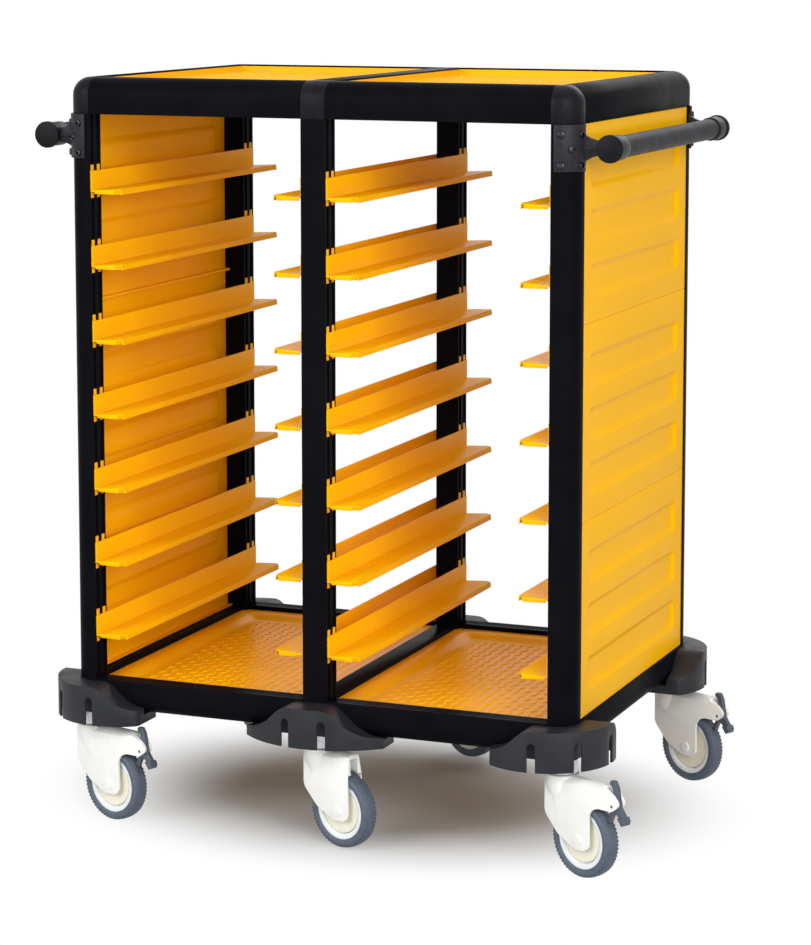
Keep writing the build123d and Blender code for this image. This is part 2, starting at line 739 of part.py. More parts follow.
def castor_head():
    """The fixed head of a castor on the Z axis, with its stem above and its kingpin below."""
    race = FORK_TOP + RACE_GAP
    points = [
        (0, KINGPIN_BOTTOM),
        (KINGPIN_RADIUS, KINGPIN_BOTTOM),
        (KINGPIN_RADIUS, race),
        (RACE_RADIUS, race),
        (HEAD_RADIUS, HEAD_BOTTOM),
        (HEAD_RADIUS, HEAD_TOP),
        (STEM_RADIUS, HEAD_TOP),
        (STEM_RADIUS, HEAD_TOP + STEM_LENGTH),
        (0, HEAD_TOP + STEM_LENGTH),
    ]
    return revolve(Plane.XZ * polygon(points), axis=Axis.Z)


def wheel_piece(points):
    """A piece turned about the wheel's axle from points of (radius, offset across)."""
    turned = revolve(Plane.XZ * polygon(points), axis=Axis.Z)
    return Pos(TRAIL, 0, WHEEL_RADIUS) * Rot(90, 0, 0) * turned


def mirrored_profile(points):
    """A closed profile of (radius, offset across), the same on both sides of the wheel's middle."""
    return points + [(radius, -offset) for radius, offset in reversed(points)]


def tyre():
    """A tyre with a crowned tread over sloping shoulders."""
    half = TYRE_WIDTH / 2
    shoulder = WHEEL_RADIUS - TYRE_SHOULDER
    side = [(TYRE_SEAT, half - RIM_INSET), (shoulder, half), (WHEEL_RADIUS, TREAD_HALF)]
    return wheel_piece(mirrored_profile(side))


def wheel_hub():
    """The wheel's disc: a boss, a recessed web and a rim under the tyre."""
    bore = AXLE_RADIUS + RUNNING
    rim = TYRE_WIDTH / 2 - RIM_INSET
    side = [(bore, HUB_HALF), (BOSS_RADIUS, HUB_HALF), (WEB_INNER, WEB_HALF), (WEB_OUTER, WEB_HALF)]
    return wheel_piece(mirrored_profile(side + [(TYRE_SEAT, rim)]))


def fork_outline(braked):
    """A fork's side view, with or without the brake's nose."""
    back, back_low = FORK_BACK
    foot = FORK_TOE[1]
    points = [
        ((back, FORK_TOP), 0),
        (FORK_BACK, BACK_ROUND),
        (FORK_HEEL, HEEL_ROUND),
        (FORK_TOE, TOE_ROUND),
        ((FORK_FRONT, foot), FOOT_ROUND),
    ]
    if braked:
        points += [
            ((FORK_FRONT, NOSE_UNDER), ARCH_ROUND),
            (NOSE_CHIN, CHIN_ROUND),
            (NOSE_TIP, CHIN_ROUND),
            (NOSE_BROW, BROW_ROUND),
            ((NOSE_CREST, FORK_TOP), BROW_ROUND),
        ]
    else:
        points += [((FORK_FRONT, LEG_TOP), 0), ((CHEEK_FRONT, FORK_TOP), CHEEK_ROUND)]
    face = polygon([point for point, radius in points])
    for point, radius in points:
        if radius:
            face = rounded(face, point, radius)
    return face


def beyond(start, end, low):
    """A block on the +Y side of the plane through three points, to trim a tapering cheek."""
    start, end, low = Vector(*start), Vector(*end), Vector(*low)
    normal = (end - start).cross(low - start).normalized()
    if normal.Y < 0:
        normal = -normal
    size = 4 * FORK_TOP
    block = Pos(0, 0, size / 2) * Box(size, size, size)
    return Plane(origin=start, x_dir=end - start, z_dir=normal) * block


def fork(braked):
    """A castor fork: two legs astride the wheel under a round head, and a nose for the brake."""
    body = along_y(fork_outline(braked), -FORK_HALF, FORK_HALF)
    if braked:
        start = (NOSE_START, FORK_HALF, FORK_TOP)
        taper = beyond(start, (NOSE_TIP[0], NOSE_TIP_HALF, FORK_TOP), (NOSE_START, FORK_HALF, 0))
    else:
        start = (CHEEK_START, FORK_HALF, FORK_TOP)
        taper = beyond(start, (CHEEK_FRONT, CHEEK_HALF, FORK_TOP), (FORK_FRONT, FORK_HALF, LEG_TOP))
    body -= [taper, mirror(taper, about=Plane.XZ)]
    side = FORK_TOP - FORK_CROWN
    crown = ThreePointArc((-FORK_HALF, side), (0, FORK_TOP), (FORK_HALF, side))
    legs = Polyline((FORK_HALF, side), (FORK_HALF, 0), (-FORK_HALF, 0), (-FORK_HALF, side))
    body &= along_x(make_face([*crown.edges(), *legs.edges()]), -FORK_TOP, FORK_TOP)
    bell = polygon(
        [
            (0, BELL_BOTTOM),
            (FORK_HALF, BELL_BOTTOM),
            (FORK_HEAD_RADIUS, BELL_TOP),
            (FORK_HEAD_RADIUS, FORK_TOP),
            (0, FORK_TOP),
        ]
    )
    body += revolve(Plane.XZ * bell, axis=Axis.Z)
    place = Pos(TRAIL, WHEEL_RADIUS)
    body -= along_y(place * Circle(FORK_SLOT_RADIUS), -FORK_SLOT_HALF, FORK_SLOT_HALF)
    body -= along_y(place * Circle(AXLE_RADIUS), -FORK_HALF, FORK_HALF)
    bore = Circle(KINGPIN_RADIUS + RUNNING)
    body -= along_z(bore, KINGPIN_BOTTOM - 2, FORK_TOP)
    if braked:
        s, z = PEDAL_PIVOT
        well = area(s - PEDAL_WELL_BACK, s + TRAIL, WHEEL_RADIUS, FORK_TOP)
        body -= along_y(well, -PEDAL_SLOT_HALF, PEDAL_SLOT_HALF)
        body -= along_y(Pos(s, z) * Circle(PEDAL_PIN + RUNNING), -FORK_HALF, FORK_HALF)
    else:
        half = CHEEK_HALF - CHEEK_WALL
        window = area(WINDOW_BACK, FORK_FRONT + CHEEK_FRONT, WHEEL_RADIUS, WINDOW_TOP)
        body -= along_y(window, -half, half)
    return body


def axle():
    """A wheel's axle bolt, with its round heads outside the fork's legs."""
    place = Pos(TRAIL, WHEEL_RADIUS)
    bolt = along_y(place * Circle(AXLE_RADIUS), -FORK_HALF, FORK_HALF)
    for side in (-1, 1):
        y_low, y_high = sorted((side * FORK_HALF, side * (FORK_HALF + AXLE_HEAD)))
        bolt += along_y(place * Circle(AXLE_HEAD_RADIUS), y_low, y_high)
    return bolt


def brake_pedal():
    """A rocker pedal with its own pin: an arm above, a pad below and a shoe that reaches the tyre."""
    s, z = PEDAL_PIVOT
    pivot = Pos(s, z)
    to_axle = math.degrees(math.atan2(WHEEL_RADIUS - z, TRAIL - s))
    web = polygon(PEDAL_ARM + PEDAL_PAD + PEDAL_BACK) + Circle(PEDAL_HUB)
    web += Rot(0, 0, to_axle + BRAKE_ANGLE) * area(0, SHOE_REACH, -SHOE_HALF, SHOE_HALF)
    pad = polygon(PEDAL_PAD + PEDAL_BACK[:1])
    pedal = along_y(pivot * web, -PEDAL_WEB_HALF, PEDAL_WEB_HALF)
    pedal += along_y(pivot * pad, -PEDAL_PAD_HALF, PEDAL_PAD_HALF)
    share = (s - NOSE_START) / (NOSE_TIP[0] - NOSE_START)
    pin = FORK_HALF + share * (NOSE_TIP_HALF - FORK_HALF) - 2 * PLUG_GAP
    return pedal + along_y(pivot * Circle(PEDAL_PIN), -pin, pin)


def on_castor(shape, place, x, y):
    """A castor's piece, turned to its place's heading at rest and set under its post."""
    return Pos(x, y, 0) * Rot(0, 0, HEADINGS[place]) * shape


def write(name, *shapes):
    """Writes one node of one or more separate solids."""
    solids = [solid for shape in shapes for solid in shape.solids()]
    shape = solids[0] if len(solids) == 1 else Compound(solids)
    export_step(shape, f"parts/{name}.step")


def write_frame():
    """Posts, beams, caps, plates, pans and panels."""
    corner = corner_post()
    middle = middle_post()
    for end, sy in (("front", -1), ("rear", 1)):
        for side, sx in (("left", -1), ("right", 1)):
            write(f"corner_post_{end}_{side}", facing(corner, sx, sy))
        write(f"middle_post_{end}", facing(middle, 1, sy))
    top_long = along_x(hollow_beam(top_beam_face, HALF_D, []), MIDDLE_HALF, POST_IN_X)
    top_side = along_y(hollow_beam(top_beam_face, HALF_W, []), -POST_IN_Y, POST_IN_Y)
    base_long = along_x(
        hollow_beam(base_beam_face, HALF_D, tread_grooves(HALF_D)), MIDDLE_HALF, POST_IN_X
    )
    base_side = along_y(
        hollow_beam(base_beam_face, HALF_W, tread_grooves(HALF_W)), -POST_IN_Y, POST_IN_Y
    )
    for end, sy in (("front", -1), ("rear", 1)):
        write(f"top_beam_{end}", facing(top_long, -1, sy), facing(top_long, 1, sy))
        write(f"base_beam_{end}", facing(base_long, -1, sy), facing(base_long, 1, sy))
    panels = [side_panel(level) for level in range(PANEL_COUNT)]
    for side, sx in (("left", -1), ("right", 1)):
        write(f"top_beam_{side}", facing(top_side, sx, 1))
        write(f"base_beam_{side}", facing(base_side, sx, 1))
        write(f"top_plate_{side}", facing(top_plate(), sx, 1))
        write(f"floor_pan_{side}", facing(floor_pan(), sx, 1))
        write(f"side_panels_{side}", *[facing(panel, sx, 1) for panel in panels])
    top_cross = cross_section(TOP_BOTTOM, TOP, MIDDLE_HALF, PLATE_SEAT)
    base_cross = cross_section(BASE_BOTTOM, BASE_TOP, BASE_CROSS_RIM, PAN_SEAT)
    write("top_cross_beam", along_y(top_cross, -POST_IN_Y, POST_IN_Y))
    write("base_cross_beam", along_y(base_cross, -POST_IN_Y, POST_IN_Y))
    write("top_corner_caps", *four_ways(corner_cap()))
    cap = tee_cap()
    write("top_tee_caps", facing(cap, 1, -1), cap)


def write_rails():
    """Four columns of tray rails, one on each side of each bay."""
    outer = [rail(level) for level in range(RAIL_COUNT)]
    across = POST_IN_X + MIDDLE_HALF
    inner = [Pos(across, 0, 0) * mirror(piece, about=Plane.YZ) for piece in outer]
    for side, sx in (("left", -1), ("right", 1)):
        write(f"rails_{side}_outer", *[facing(piece, sx, 1) for piece in outer])
        write(f"rails_{side}_inner", *[facing(piece, sx, 1) for piece in inner])


def write_handles():
    """The two push handles."""
    tube = handle_tube()
    bracket = handle_bracket()
    for side, sx in (("left", -1), ("right", 1)):
        write(f"handle_tube_{side}", facing(tube, sx, 1))
        write(f"handle_brackets_{side}", facing(bracket, sx, -1), facing(bracket, sx, 1))
    write("handle_end_caps", *four_ways(handle_end_cap()))


def write_feet():
    """Bumpers, plugs and castors under the six posts."""
    write("corner_bumpers", *four_ways(corner_bumper()))
    bumper = middle_bumper()
    write("middle_bumpers", facing(bumper, 1, -1), bumper)
    x = HALF_W - CASTOR_INSET
    y = HALF_D - CASTOR_INSET
    middle_plug = post_plug(middle_cavity, 0, y)
    plugs = four_ways(post_plug(corner_cavity, x, y))
    write("post_plugs", *plugs, facing(middle_plug, 1, -1), middle_plug)
    head = castor_head()
    braked = fork(True)
    plain = fork(False)
    heads = []
    for end, sy in (("front", -1), ("rear", 1)):
        for side, sx in (("left", -1), ("middle", 0), ("right", 1)):
            place = f"{end}_{side}"
            spot = (place, sx * x, sy * y)
            heads.append(on_castor(head, *spot))
            write(f"tyre_{place}", on_castor(tyre(), *spot))
            write(f"wheel_hub_{place}", on_castor(wheel_hub(), *spot))
            if sx:
                pieces = [braked, axle()]
                write(f"brake_pedal_{place}", on_castor(brake_pedal(), *spot))
            else:
                pieces = [plain, axle()]
            write(f"fork_{place}", *[on_castor(piece, *spot) for piece in pieces])
    write("castor_heads", *heads)


os.makedirs("parts", exist_ok=True)
write_frame()
write_rails()
write_handles()
write_feet()
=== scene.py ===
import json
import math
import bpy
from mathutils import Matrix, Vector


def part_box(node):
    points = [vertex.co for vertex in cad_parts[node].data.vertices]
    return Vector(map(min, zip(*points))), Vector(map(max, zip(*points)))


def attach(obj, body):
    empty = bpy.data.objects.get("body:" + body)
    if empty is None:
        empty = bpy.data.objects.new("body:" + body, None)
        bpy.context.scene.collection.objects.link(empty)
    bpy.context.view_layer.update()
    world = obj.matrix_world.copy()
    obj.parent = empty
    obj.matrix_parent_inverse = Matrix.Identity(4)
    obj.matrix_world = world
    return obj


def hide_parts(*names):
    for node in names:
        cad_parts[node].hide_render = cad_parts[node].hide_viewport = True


bl_info = {
    "name": "Two-bay tray trolley",
    "version": (1, 0, 0),
    "blender": (4, 5, 0),
    "location": "3D Viewport > Sidebar > Trolley",
    "description": "Builds the looks of a two-bay tray trolley on its packed frame",
    "category": "Object",
}

import bmesh
import bpy
from bpy.props import FloatProperty, FloatVectorProperty, IntProperty, PointerProperty
from mathutils import Vector

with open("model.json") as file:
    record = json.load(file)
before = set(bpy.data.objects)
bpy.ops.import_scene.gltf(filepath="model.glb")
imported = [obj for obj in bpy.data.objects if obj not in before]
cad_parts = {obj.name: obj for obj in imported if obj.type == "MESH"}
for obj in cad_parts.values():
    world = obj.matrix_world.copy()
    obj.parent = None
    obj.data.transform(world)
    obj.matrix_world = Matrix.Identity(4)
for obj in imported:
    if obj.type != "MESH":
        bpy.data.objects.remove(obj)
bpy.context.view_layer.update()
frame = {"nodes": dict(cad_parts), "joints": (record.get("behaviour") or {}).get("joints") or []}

MM = 0.001
JOINTS = {joint["name"]: joint for joint in frame["joints"]}
CASTORS = [name[len("swivel_") :] for name in JOINTS if name.startswith("swivel_")]
BRAKED = [name[len("brake_") :] for name in JOINTS if name.startswith("brake_")]
POSTS = [f"corner_post_{end}_{side}" for end in ("front", "rear") for side in ("left", "right")]
POSTS += ["middle_post_front", "middle_post_rear"]
BEAMS = [f"{level}_beam_{side}" for level in ("top", "base") for side in ("front", "rear", "left", "right")]
BEAMS += ["top_cross_beam", "base_cross_beam"]


def linear(code):
    """An sRGB hex colour in the linear values that shaders take."""
    channels = [int(code[at : at + 2], 16) / 255 for at in (1, 3, 5)]
    return tuple(c / 12.92 if c <= 0.04045 else ((c + 0.055) / 1.055) ** 2.4 for c in channels)


def add(tree, kind, inputs=None, **settings):
    """Adds a node with its settings, and sets its inputs to values or links them to outputs."""
    node = tree.nodes.new(kind)
    for name, value in settings.items():
        setattr(node, name, value)
    for name, value in (inputs or {}).items():
        if isinstance(value, bpy.types.NodeSocket):
            tree.links.new(value, node.inputs[name])
        else:
            node.inputs[name].default_value = value
    return node


# Settings


class TrolleyColours(bpy.types.PropertyGroup):
    """The colours of the trolley's finishes."""

    frame: FloatVectorProperty(
        name="Frame", description="Powder coat of posts and beams", subtype="COLOR",
        default=linear("#101014"),
    )
    fittings: FloatVectorProperty(
        name="Fittings", description="Moulded caps and handle brackets", subtype="COLOR",
        default=linear("#141417"),
    )
    bumper: FloatVectorProperty(
        name="Bumpers", description="Moulded bumpers", subtype="COLOR",
        default=linear("#202125"),
    )
    orange: FloatVectorProperty(
        name="Trays' side", description="Rails, panels, pans and plates", subtype="COLOR",
        default=linear("#FFBC0A"),
    )
    handle: FloatVectorProperty(
        name="Handles", description="Tubes of the push handles", subtype="COLOR",
        default=linear("#323235"),
    )
    fork: FloatVectorProperty(
        name="Forks", description="Moulded castor forks", subtype="COLOR",
        default=linear("#ECECE8"),
    )
    disc: FloatVectorProperty(
        name="Wheel discs", description="Moulded wheel centres", subtype="COLOR",
        default=linear("#E9E5D2"),
    )
    rim: FloatVectorProperty(
        name="Wheel rims", description="Ring between disc and tyre", subtype="COLOR",
        default=linear("#E6EAEC"),
    )
    rubber: FloatVectorProperty(
        name="Tyres", description="Tyres and brake pedals", subtype="COLOR",
        default=linear("#48515E"),
    )


class TrolleyPanel(bpy.types.PropertyGroup):
    """The pressed side panels."""

    count: IntProperty(name="Panels", description="Panels in each side", default=3, min=1)
    sheet: FloatProperty(name="Sheet", description="Thickness of the sheet", default=2 * MM, unit="LENGTH")
    bend: FloatProperty(
        name="Bend", description="Outer radius of the hems", default=1.6 * MM, unit="LENGTH"
    )
    hem: FloatProperty(name="Hem", description="Depth of the hems", default=12 * MM, unit="LENGTH")
    flutes: IntProperty(name="Flutes", description="Flutes in each panel", default=3, min=1)
    first: FloatProperty(
        name="First flute", description="From the top edge", default=46 * MM, unit="LENGTH"
    )
    pitch: FloatProperty(name="Pitch", description="From flute to flute", default=87 * MM, unit="LENGTH")
    height: FloatProperty(name="Flute height", description="At its mouth", default=60 * MM, unit="LENGTH")
    length: FloatProperty(name="Flute length", description="At its mouth", default=490 * MM, unit="LENGTH")
    depth: FloatProperty(name="Flute depth", description="Into the panel", default=6 * MM, unit="LENGTH")
    slope: FloatProperty(
        name="Flute slope", description="Width of its soft edge", default=14 * MM, unit="LENGTH"
    )
    corner: FloatProperty(
        name="Flute corner", description="Corner radius of its mouth", default=22 * MM, unit="LENGTH"
    )
    setback: FloatProperty(
        name="Setback", description="How far the hems stop short of the sides",
        default=4.5 * MM, unit="LENGTH",
    )


class TrolleyPan(bpy.types.PropertyGroup):
    """The dished floor pans and the lipped top plates."""

    sheet: FloatProperty(name="Sheet", description="Thickness of the sheet", default=2 * MM, unit="LENGTH")
    border: FloatProperty(name="Border", description="Flat border of a pan", default=16 * MM, unit="LENGTH")
    slope: FloatProperty(
        name="Slope", description="Width of a pan's soft slope", default=30 * MM, unit="LENGTH"
    )
    drop: FloatProperty(name="Drop", description="Depth of a pan's dish", default=9 * MM, unit="LENGTH")
    round: FloatProperty(
        name="Round", description="Corner radius of a pan's dish", default=28 * MM, unit="LENGTH"
    )
    notch_end: FloatProperty(
        name="Notch, end", description="A corner notch's depth along the pan",
        default=10 * MM, unit="LENGTH",
    )
    notch_inner: FloatProperty(
        name="Notch, inner", description="Its width at the middle posts", default=4 * MM, unit="LENGTH"
    )
    notch_outer: FloatProperty(
        name="Notch, outer", description="Its width at the corner posts", default=8 * MM, unit="LENGTH"
    )
    bend: FloatProperty(
        name="Lip's bend", description="Radius under a plate's lip", default=3 * MM, unit="LENGTH"
    )
    corner: FloatProperty(
        name="Lip's corner", description="Corner radius of a plate", default=4 * MM, unit="LENGTH"
    )


class TrolleyTread(bpy.types.PropertyGroup):
    """The raised dashes on the floor pans and top plates."""

    pitch: FloatProperty(name="Pitch", description="From dash to dash", default=17 * MM, unit="LENGTH")
    length: FloatProperty(name="Length", description="Length of a dash", default=14 * MM, unit="LENGTH")
    width: FloatProperty(name="Width", description="Width of a dash", default=4.2 * MM, unit="LENGTH")
    height: FloatProperty(name="Height", description="Height of a dash", default=1.8 * MM, unit="LENGTH")


class TrolleyRail(bpy.types.PropertyGroup):
    """The ends of the tray rails."""

    count: IntProperty(name="Rails", description="Rails in each column", default=7, min=1)
    first: FloatProperty(
        name="Lowest rail", description="Height of its flange", default=315 * MM, unit="LENGTH"
    )
    pitch: FloatProperty(name="Pitch", description="From rail to rail", default=124.5 * MM, unit="LENGTH")
    lip: FloatProperty(
        name="Lip", description="How far the lip's foot lies past the flange",
        default=4.5 * MM, unit="LENGTH",
    )
    cut: FloatProperty(name="Corner", description="The corner's cut across", default=8 * MM, unit="LENGTH")
    cut_long: FloatProperty(
        name="Corner, long", description="The cut along the rail", default=12.8 * MM, unit="LENGTH"
    )
    hem: FloatProperty(name="Hem", description="Depth of the end's hem", default=6 * MM, unit="LENGTH")
    sheet: FloatProperty(
        name="Sheet", description="Thickness of the sheet", default=2.5 * MM, unit="LENGTH"
    )
    inset: FloatProperty(
        name="Inset", description="From the clips' backs to the hem", default=8.8 * MM, unit="LENGTH"
    )
    tuck: FloatProperty(
        name="Tuck", description="How far the hem's foot is bent back", default=3.5 * MM, unit="LENGTH"
    )


class TrolleyWheel(bpy.types.PropertyGroup):
    """The castors' wheels."""

    steps: IntProperty(name="Steps", description="Faces round a wheel", default=96, min=24)
    nibs: IntProperty(name="Nibs", description="Nibs round each shoulder of a tyre", default=60, min=12)
    nib: FloatVectorProperty(
        name="Nib", description="Half a nib's size", subtype="XYZ", unit="LENGTH",
        default=(0.7 * MM, 2.6 * MM, 2.4 * MM),
    )
    nib_radius: FloatProperty(
        name="Nib ring", description="From the axle to the nibs", default=60.7 * MM, unit="LENGTH"
    )
    nib_offset: FloatProperty(
        name="Nib offset", description="From the wheel's middle to the nibs", default=10 * MM, unit="LENGTH"
    )


class TrolleyFittings(bpy.types.PropertyGroup):
    """Rounded edges and screws."""

    seam: FloatProperty(
        name="Seam", description="Rounding where pieces meet", default=0.7 * MM, unit="LENGTH"
    )
    rail: FloatProperty(
        name="Rails", description="Rounding of the tray rails", default=0.5 * MM, unit="LENGTH"
    )
    fitting: FloatProperty(
        name="Brackets", description="Rounding of the brackets", default=1.0 * MM, unit="LENGTH"
    )
    bumper: FloatProperty(
        name="Bumpers", description="Rounding of the bumpers' other edges", default=0.8 * MM, unit="LENGTH"
    )
    shoulder: FloatProperty(
        name="Shoulders", description="Rounding of the bumpers' tops", default=6 * MM, unit="LENGTH"
    )
    fork: FloatProperty(name="Forks", description="Rounding of the forks", default=3 * MM, unit="LENGTH")
    pedal: FloatProperty(
        name="Pedals", description="Rounding of the pedals", default=1.4 * MM, unit="LENGTH"
    )
    screw: FloatProperty(
        name="Screws", description="Radius of the bracket screws", default=6 * MM, unit="LENGTH"
    )


class TrolleyStage(bpy.types.PropertyGroup):
    """Camera, floor and lights."""

    place: FloatVectorProperty(
        name="Camera", description="The camera's place", subtype="XYZ", unit="LENGTH",
        default=(1.8954, -4.64897, 1.45394),
    )
    yaw: FloatProperty(
        name="Yaw", description="The camera's turn to the left", subtype="ANGLE", default=0.3814
    )
    pitch: FloatProperty(
        name="Pitch", description="The camera's tilt down", subtype="ANGLE", default=0.1275
    )
    lens: FloatProperty(name="Lens", description="Focal length in mm on 36 mm", default=112.96)
    shift: FloatProperty(name="Shift", description="Vertical shift of the lens", default=-0.15)
    key: FloatProperty(name="Key light", description="Watts of the front right light", default=186.0)
    fill: FloatProperty(name="Fill light", description="Watts of the front left light", default=142.0)
    overhead: FloatProperty(name="Overhead light", description="Watts of the light above", default=28.0)
    back: FloatProperty(name="Back light", description="Watts of the light behind", default=45.0)
    sky: FloatProperty(name="Sky", description="Strength of the even light from all round", default=0.28)


# Materials


def empty_material(name):
    """A material and its empty node tree."""
    material = bpy.data.materials.new(name)
    material.use_nodes = True
    material.node_tree.nodes.clear()
    return material, material.node_tree


def finish(name, colours, patch, roughness, grain, relief, specular=0.5, metallic=0.0):
    """A finish of two close colours in soft patches, with uneven gloss and a relief of fine grains.

    The patches, the grains and the relief's height are in mm.
    """
    material, tree = empty_material(name)
    place = add(tree, "ShaderNodeTexCoord").outputs["Object"]
    patches = add(tree, "ShaderNodeTexNoise", {"Vector": place, "Scale": 1 / (patch * MM), "Detail": 3.0})
    share = add(
        tree, "ShaderNodeMapRange", {"Value": patches.outputs[0], "From Min": 0.3, "From Max": 0.7},
        clamp=True,
    ).outputs[0]
    tone = add(tree, "ShaderNodeMix", {0: share, 6: (*colours[0], 1), 7: (*colours[1], 1)}, data_type="RGBA")
    shine = add(tree, "ShaderNodeMapRange", {"Value": share, "To Min": roughness[0], "To Max": roughness[1]})
    grains = add(tree, "ShaderNodeTexNoise", {"Vector": place, "Scale": 1 / (grain * MM), "Detail": 2.0})
    bump = add(tree, "ShaderNodeBump", {"Height": grains.outputs[0], "Distance": relief * MM})
    skin = {"Base Color": tone.outputs[2], "Roughness": shine.outputs[0], "Normal": bump.outputs[0]}
    skin.update({"Specular IOR Level": specular, "Metallic": metallic})
    shader = add(tree, "ShaderNodeBsdfPrincipled", skin)
    add(tree, "ShaderNodeOutputMaterial", {"Surface": shader.outputs[0]})
    return material


def shade(colour, share):
    """A colour made darker or lighter by a share."""
    return tuple(min(1.0, c * share) for c in colour)


def make_materials():
    """The finishes by their short names. Moulded grit of about 0.2 mm is drawn as 0.8 to 1.2 mm, to show."""
    colours = bpy.context.scene.trolley_colours
    made = {}
    # Black powder coat on aluminium: a deep black with very little sheen, broken up by orange peel
    made["coat"] = finish(
        "powder_coated_aluminium_black", (colours.frame, shade(colours.frame, 0.75)),
        patch=60, roughness=(0.30, 0.38), grain=2.2, relief=0.012, specular=0.008,
    )
    # Spark-eroded black ABS: fine dots of gloss on a dull black
    made["fitting"] = finish(
        "textured_abs_black", (colours.fittings, shade(colours.fittings, 1.35)),
        patch=9, roughness=(0.32, 0.46), grain=0.9, relief=0.05, specular=0.06,
    )
    # Rougher black polyamide with a painted sheen: the glint of its close dots of gloss is painted into its
    # colour as the fittings' black made 1.8 to 3 times paler, a dark grey
    made["bracket"] = finish(
        "textured_polyamide_black", (shade(colours.fittings, 1.8), shade(colours.fittings, 3.0)),
        patch=4, roughness=(0.36, 0.5), grain=0.9, relief=0.08, specular=0.12,
    )
    # Moulded polypropylene: matt dark grey, a little paler where it is rubbed
    made["bumper"] = finish(
        "moulded_polypropylene_dark_grey", (shade(colours.bumper, 0.85), shade(colours.bumper, 1.25)),
        patch=35, roughness=(0.42, 0.56), grain=1.1, relief=0.05, specular=0.25,
    )
    # Smooth orange powder coat on sheet: full, even colour that pale surroundings hardly veil
    made["orange"] = finish(
        "powder_coated_sheet_orange", (colours.orange, shade(colours.orange, 0.95)),
        patch=300, roughness=(0.22, 0.28), grain=3.0, relief=0.006, specular=0.012,
    )
    # The same coat on pans and plates, rubbed bright: it takes a pale veil from what is behind it
    made["tread"] = finish(
        "powder_coated_sheet_orange_gloss", (colours.orange, shade(colours.orange, 0.93)),
        patch=220, roughness=(0.28, 0.34), grain=3.0, relief=0.008, specular=0.07,
    )
    # Grey polyamide coat on aluminium tube: smooth and nearly matt
    made["handle"] = finish(
        "polyamide_coated_tube_grey", (colours.handle, shade(colours.handle, 0.85)),
        patch=25, roughness=(0.36, 0.44), grain=1.5, relief=0.03, specular=0.02,
    )
    # Moulded polyamide 6: clean white with a soft sheen
    made["fork"] = finish(
        "moulded_polyamide_white", (colours.fork, shade(colours.fork, 0.96)),
        patch=18, roughness=(0.34, 0.44), grain=1.2, relief=0.03,
    )
    # Moulded polypropylene wheel centre: cream, half gloss
    made["disc"] = finish(
        "moulded_polypropylene_cream", (colours.disc, shade(colours.disc, 0.94)),
        patch=14, roughness=(0.36, 0.46), grain=1.0, relief=0.03,
    )
    # The same moulding in white, for the ring under the tyre
    made["rim"] = finish(
        "moulded_polypropylene_white", (colours.rim, shade(colours.rim, 0.95)),
        patch=14, roughness=(0.34, 0.44), grain=1.0, relief=0.03,
    )
    # Non-marking thermoplastic rubber: blue grey, dusty in patches
    made["rubber"] = finish(
        "thermoplastic_rubber_blue_grey", (colours.rubber, shade(colours.rubber, 1.3)),
        patch=11, roughness=(0.5, 0.66), grain=0.8, relief=0.08, specular=0.4,
    )
    # Moulded polyamide in the tyres' colour: smoother than rubber, with a soft sheen
    made["pedal"] = finish(
        "moulded_polyamide_blue_grey", (colours.rubber, shade(colours.rubber, 0.8)),
        patch=9, roughness=(0.4, 0.52), grain=0.8, relief=0.05,
    )
    # Bright zinc plate on steel: pale metal with a faint cloud
    made["zinc"] = finish(
        "zinc_plated_steel", (linear("#C9CACB"), linear("#B4B6B8")),
        patch=6, roughness=(0.26, 0.4), grain=0.7, relief=0.02, metallic=1.0,
    )
    # Black oxide on steel screws: dark metal that catches small lights
    made["screw"] = finish(
        "black_oxide_steel", (linear("#2A2A2E"), linear("#38383C")),
        patch=2, roughness=(0.25, 0.4), grain=0.5, relief=0.02, metallic=1.0,
    )
    return made


# Meshes


# Faces that meet at less than this angle are shaded as one surface
SMOOTH = math.radians(32)


def piece(name, mesh, body, stands_for=()):
    """An object of a finished mesh, which rides on a body and may stand for CAD nodes."""
    mesh.name = name
    mesh.shade_smooth()
    mesh.set_sharp_from_angle(angle=SMOOTH)
    obj = bpy.data.objects.new(name, mesh)
    bpy.context.scene.collection.objects.link(obj)
    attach(obj, body)
    if stands_for:
        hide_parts(*stands_for)


def mesh_of(bm, material):
    """A mesh from a bmesh, with a material, a list of them or an empty list."""
    mesh = bpy.data.meshes.new("piece")
    bm.to_mesh(mesh)
    bm.free()
    for each in material if isinstance(material, list) else [material]:
        mesh.materials.append(each)
    return mesh


def baked(obj):
    """The object's mesh with its modifiers applied. The object is removed."""
    graph = bpy.context.evaluated_depsgraph_get()
    mesh = bpy.data.meshes.new_from_object(obj.evaluated_get(graph), depsgraph=graph)
    bpy.data.objects.remove(obj)
    return mesh


def thickened(mesh, thickness):
    """The mesh as a sheet that goes in from its outer face."""
    obj = bpy.data.objects.new("sheet", mesh)
    bpy.context.scene.collection.objects.link(obj)
    solid = obj.modifiers.new("thickness", "SOLIDIFY")
    solid.thickness = thickness
    solid.offset = -1.0
    solid.use_even_offset = True
    return baked(obj)


def grid(bm, rows, keep=None):
    """Quads over rows of points. Where keep is given, only the quads that it allows."""
    lines = [[bm.verts.new(point) for point in row] for row in rows]
    for i, (low, high) in enumerate(zip(lines, lines[1:])):
        for k in range(len(low) - 1):
            if keep is None or keep(i, k):
                bm.faces.new((low[k], low[k + 1], high[k + 1], high[k]))
    loose = [vert for vert in bm.verts if not vert.link_faces]
    bmesh.ops.delete(bm, geom=loose, context="VERTS")


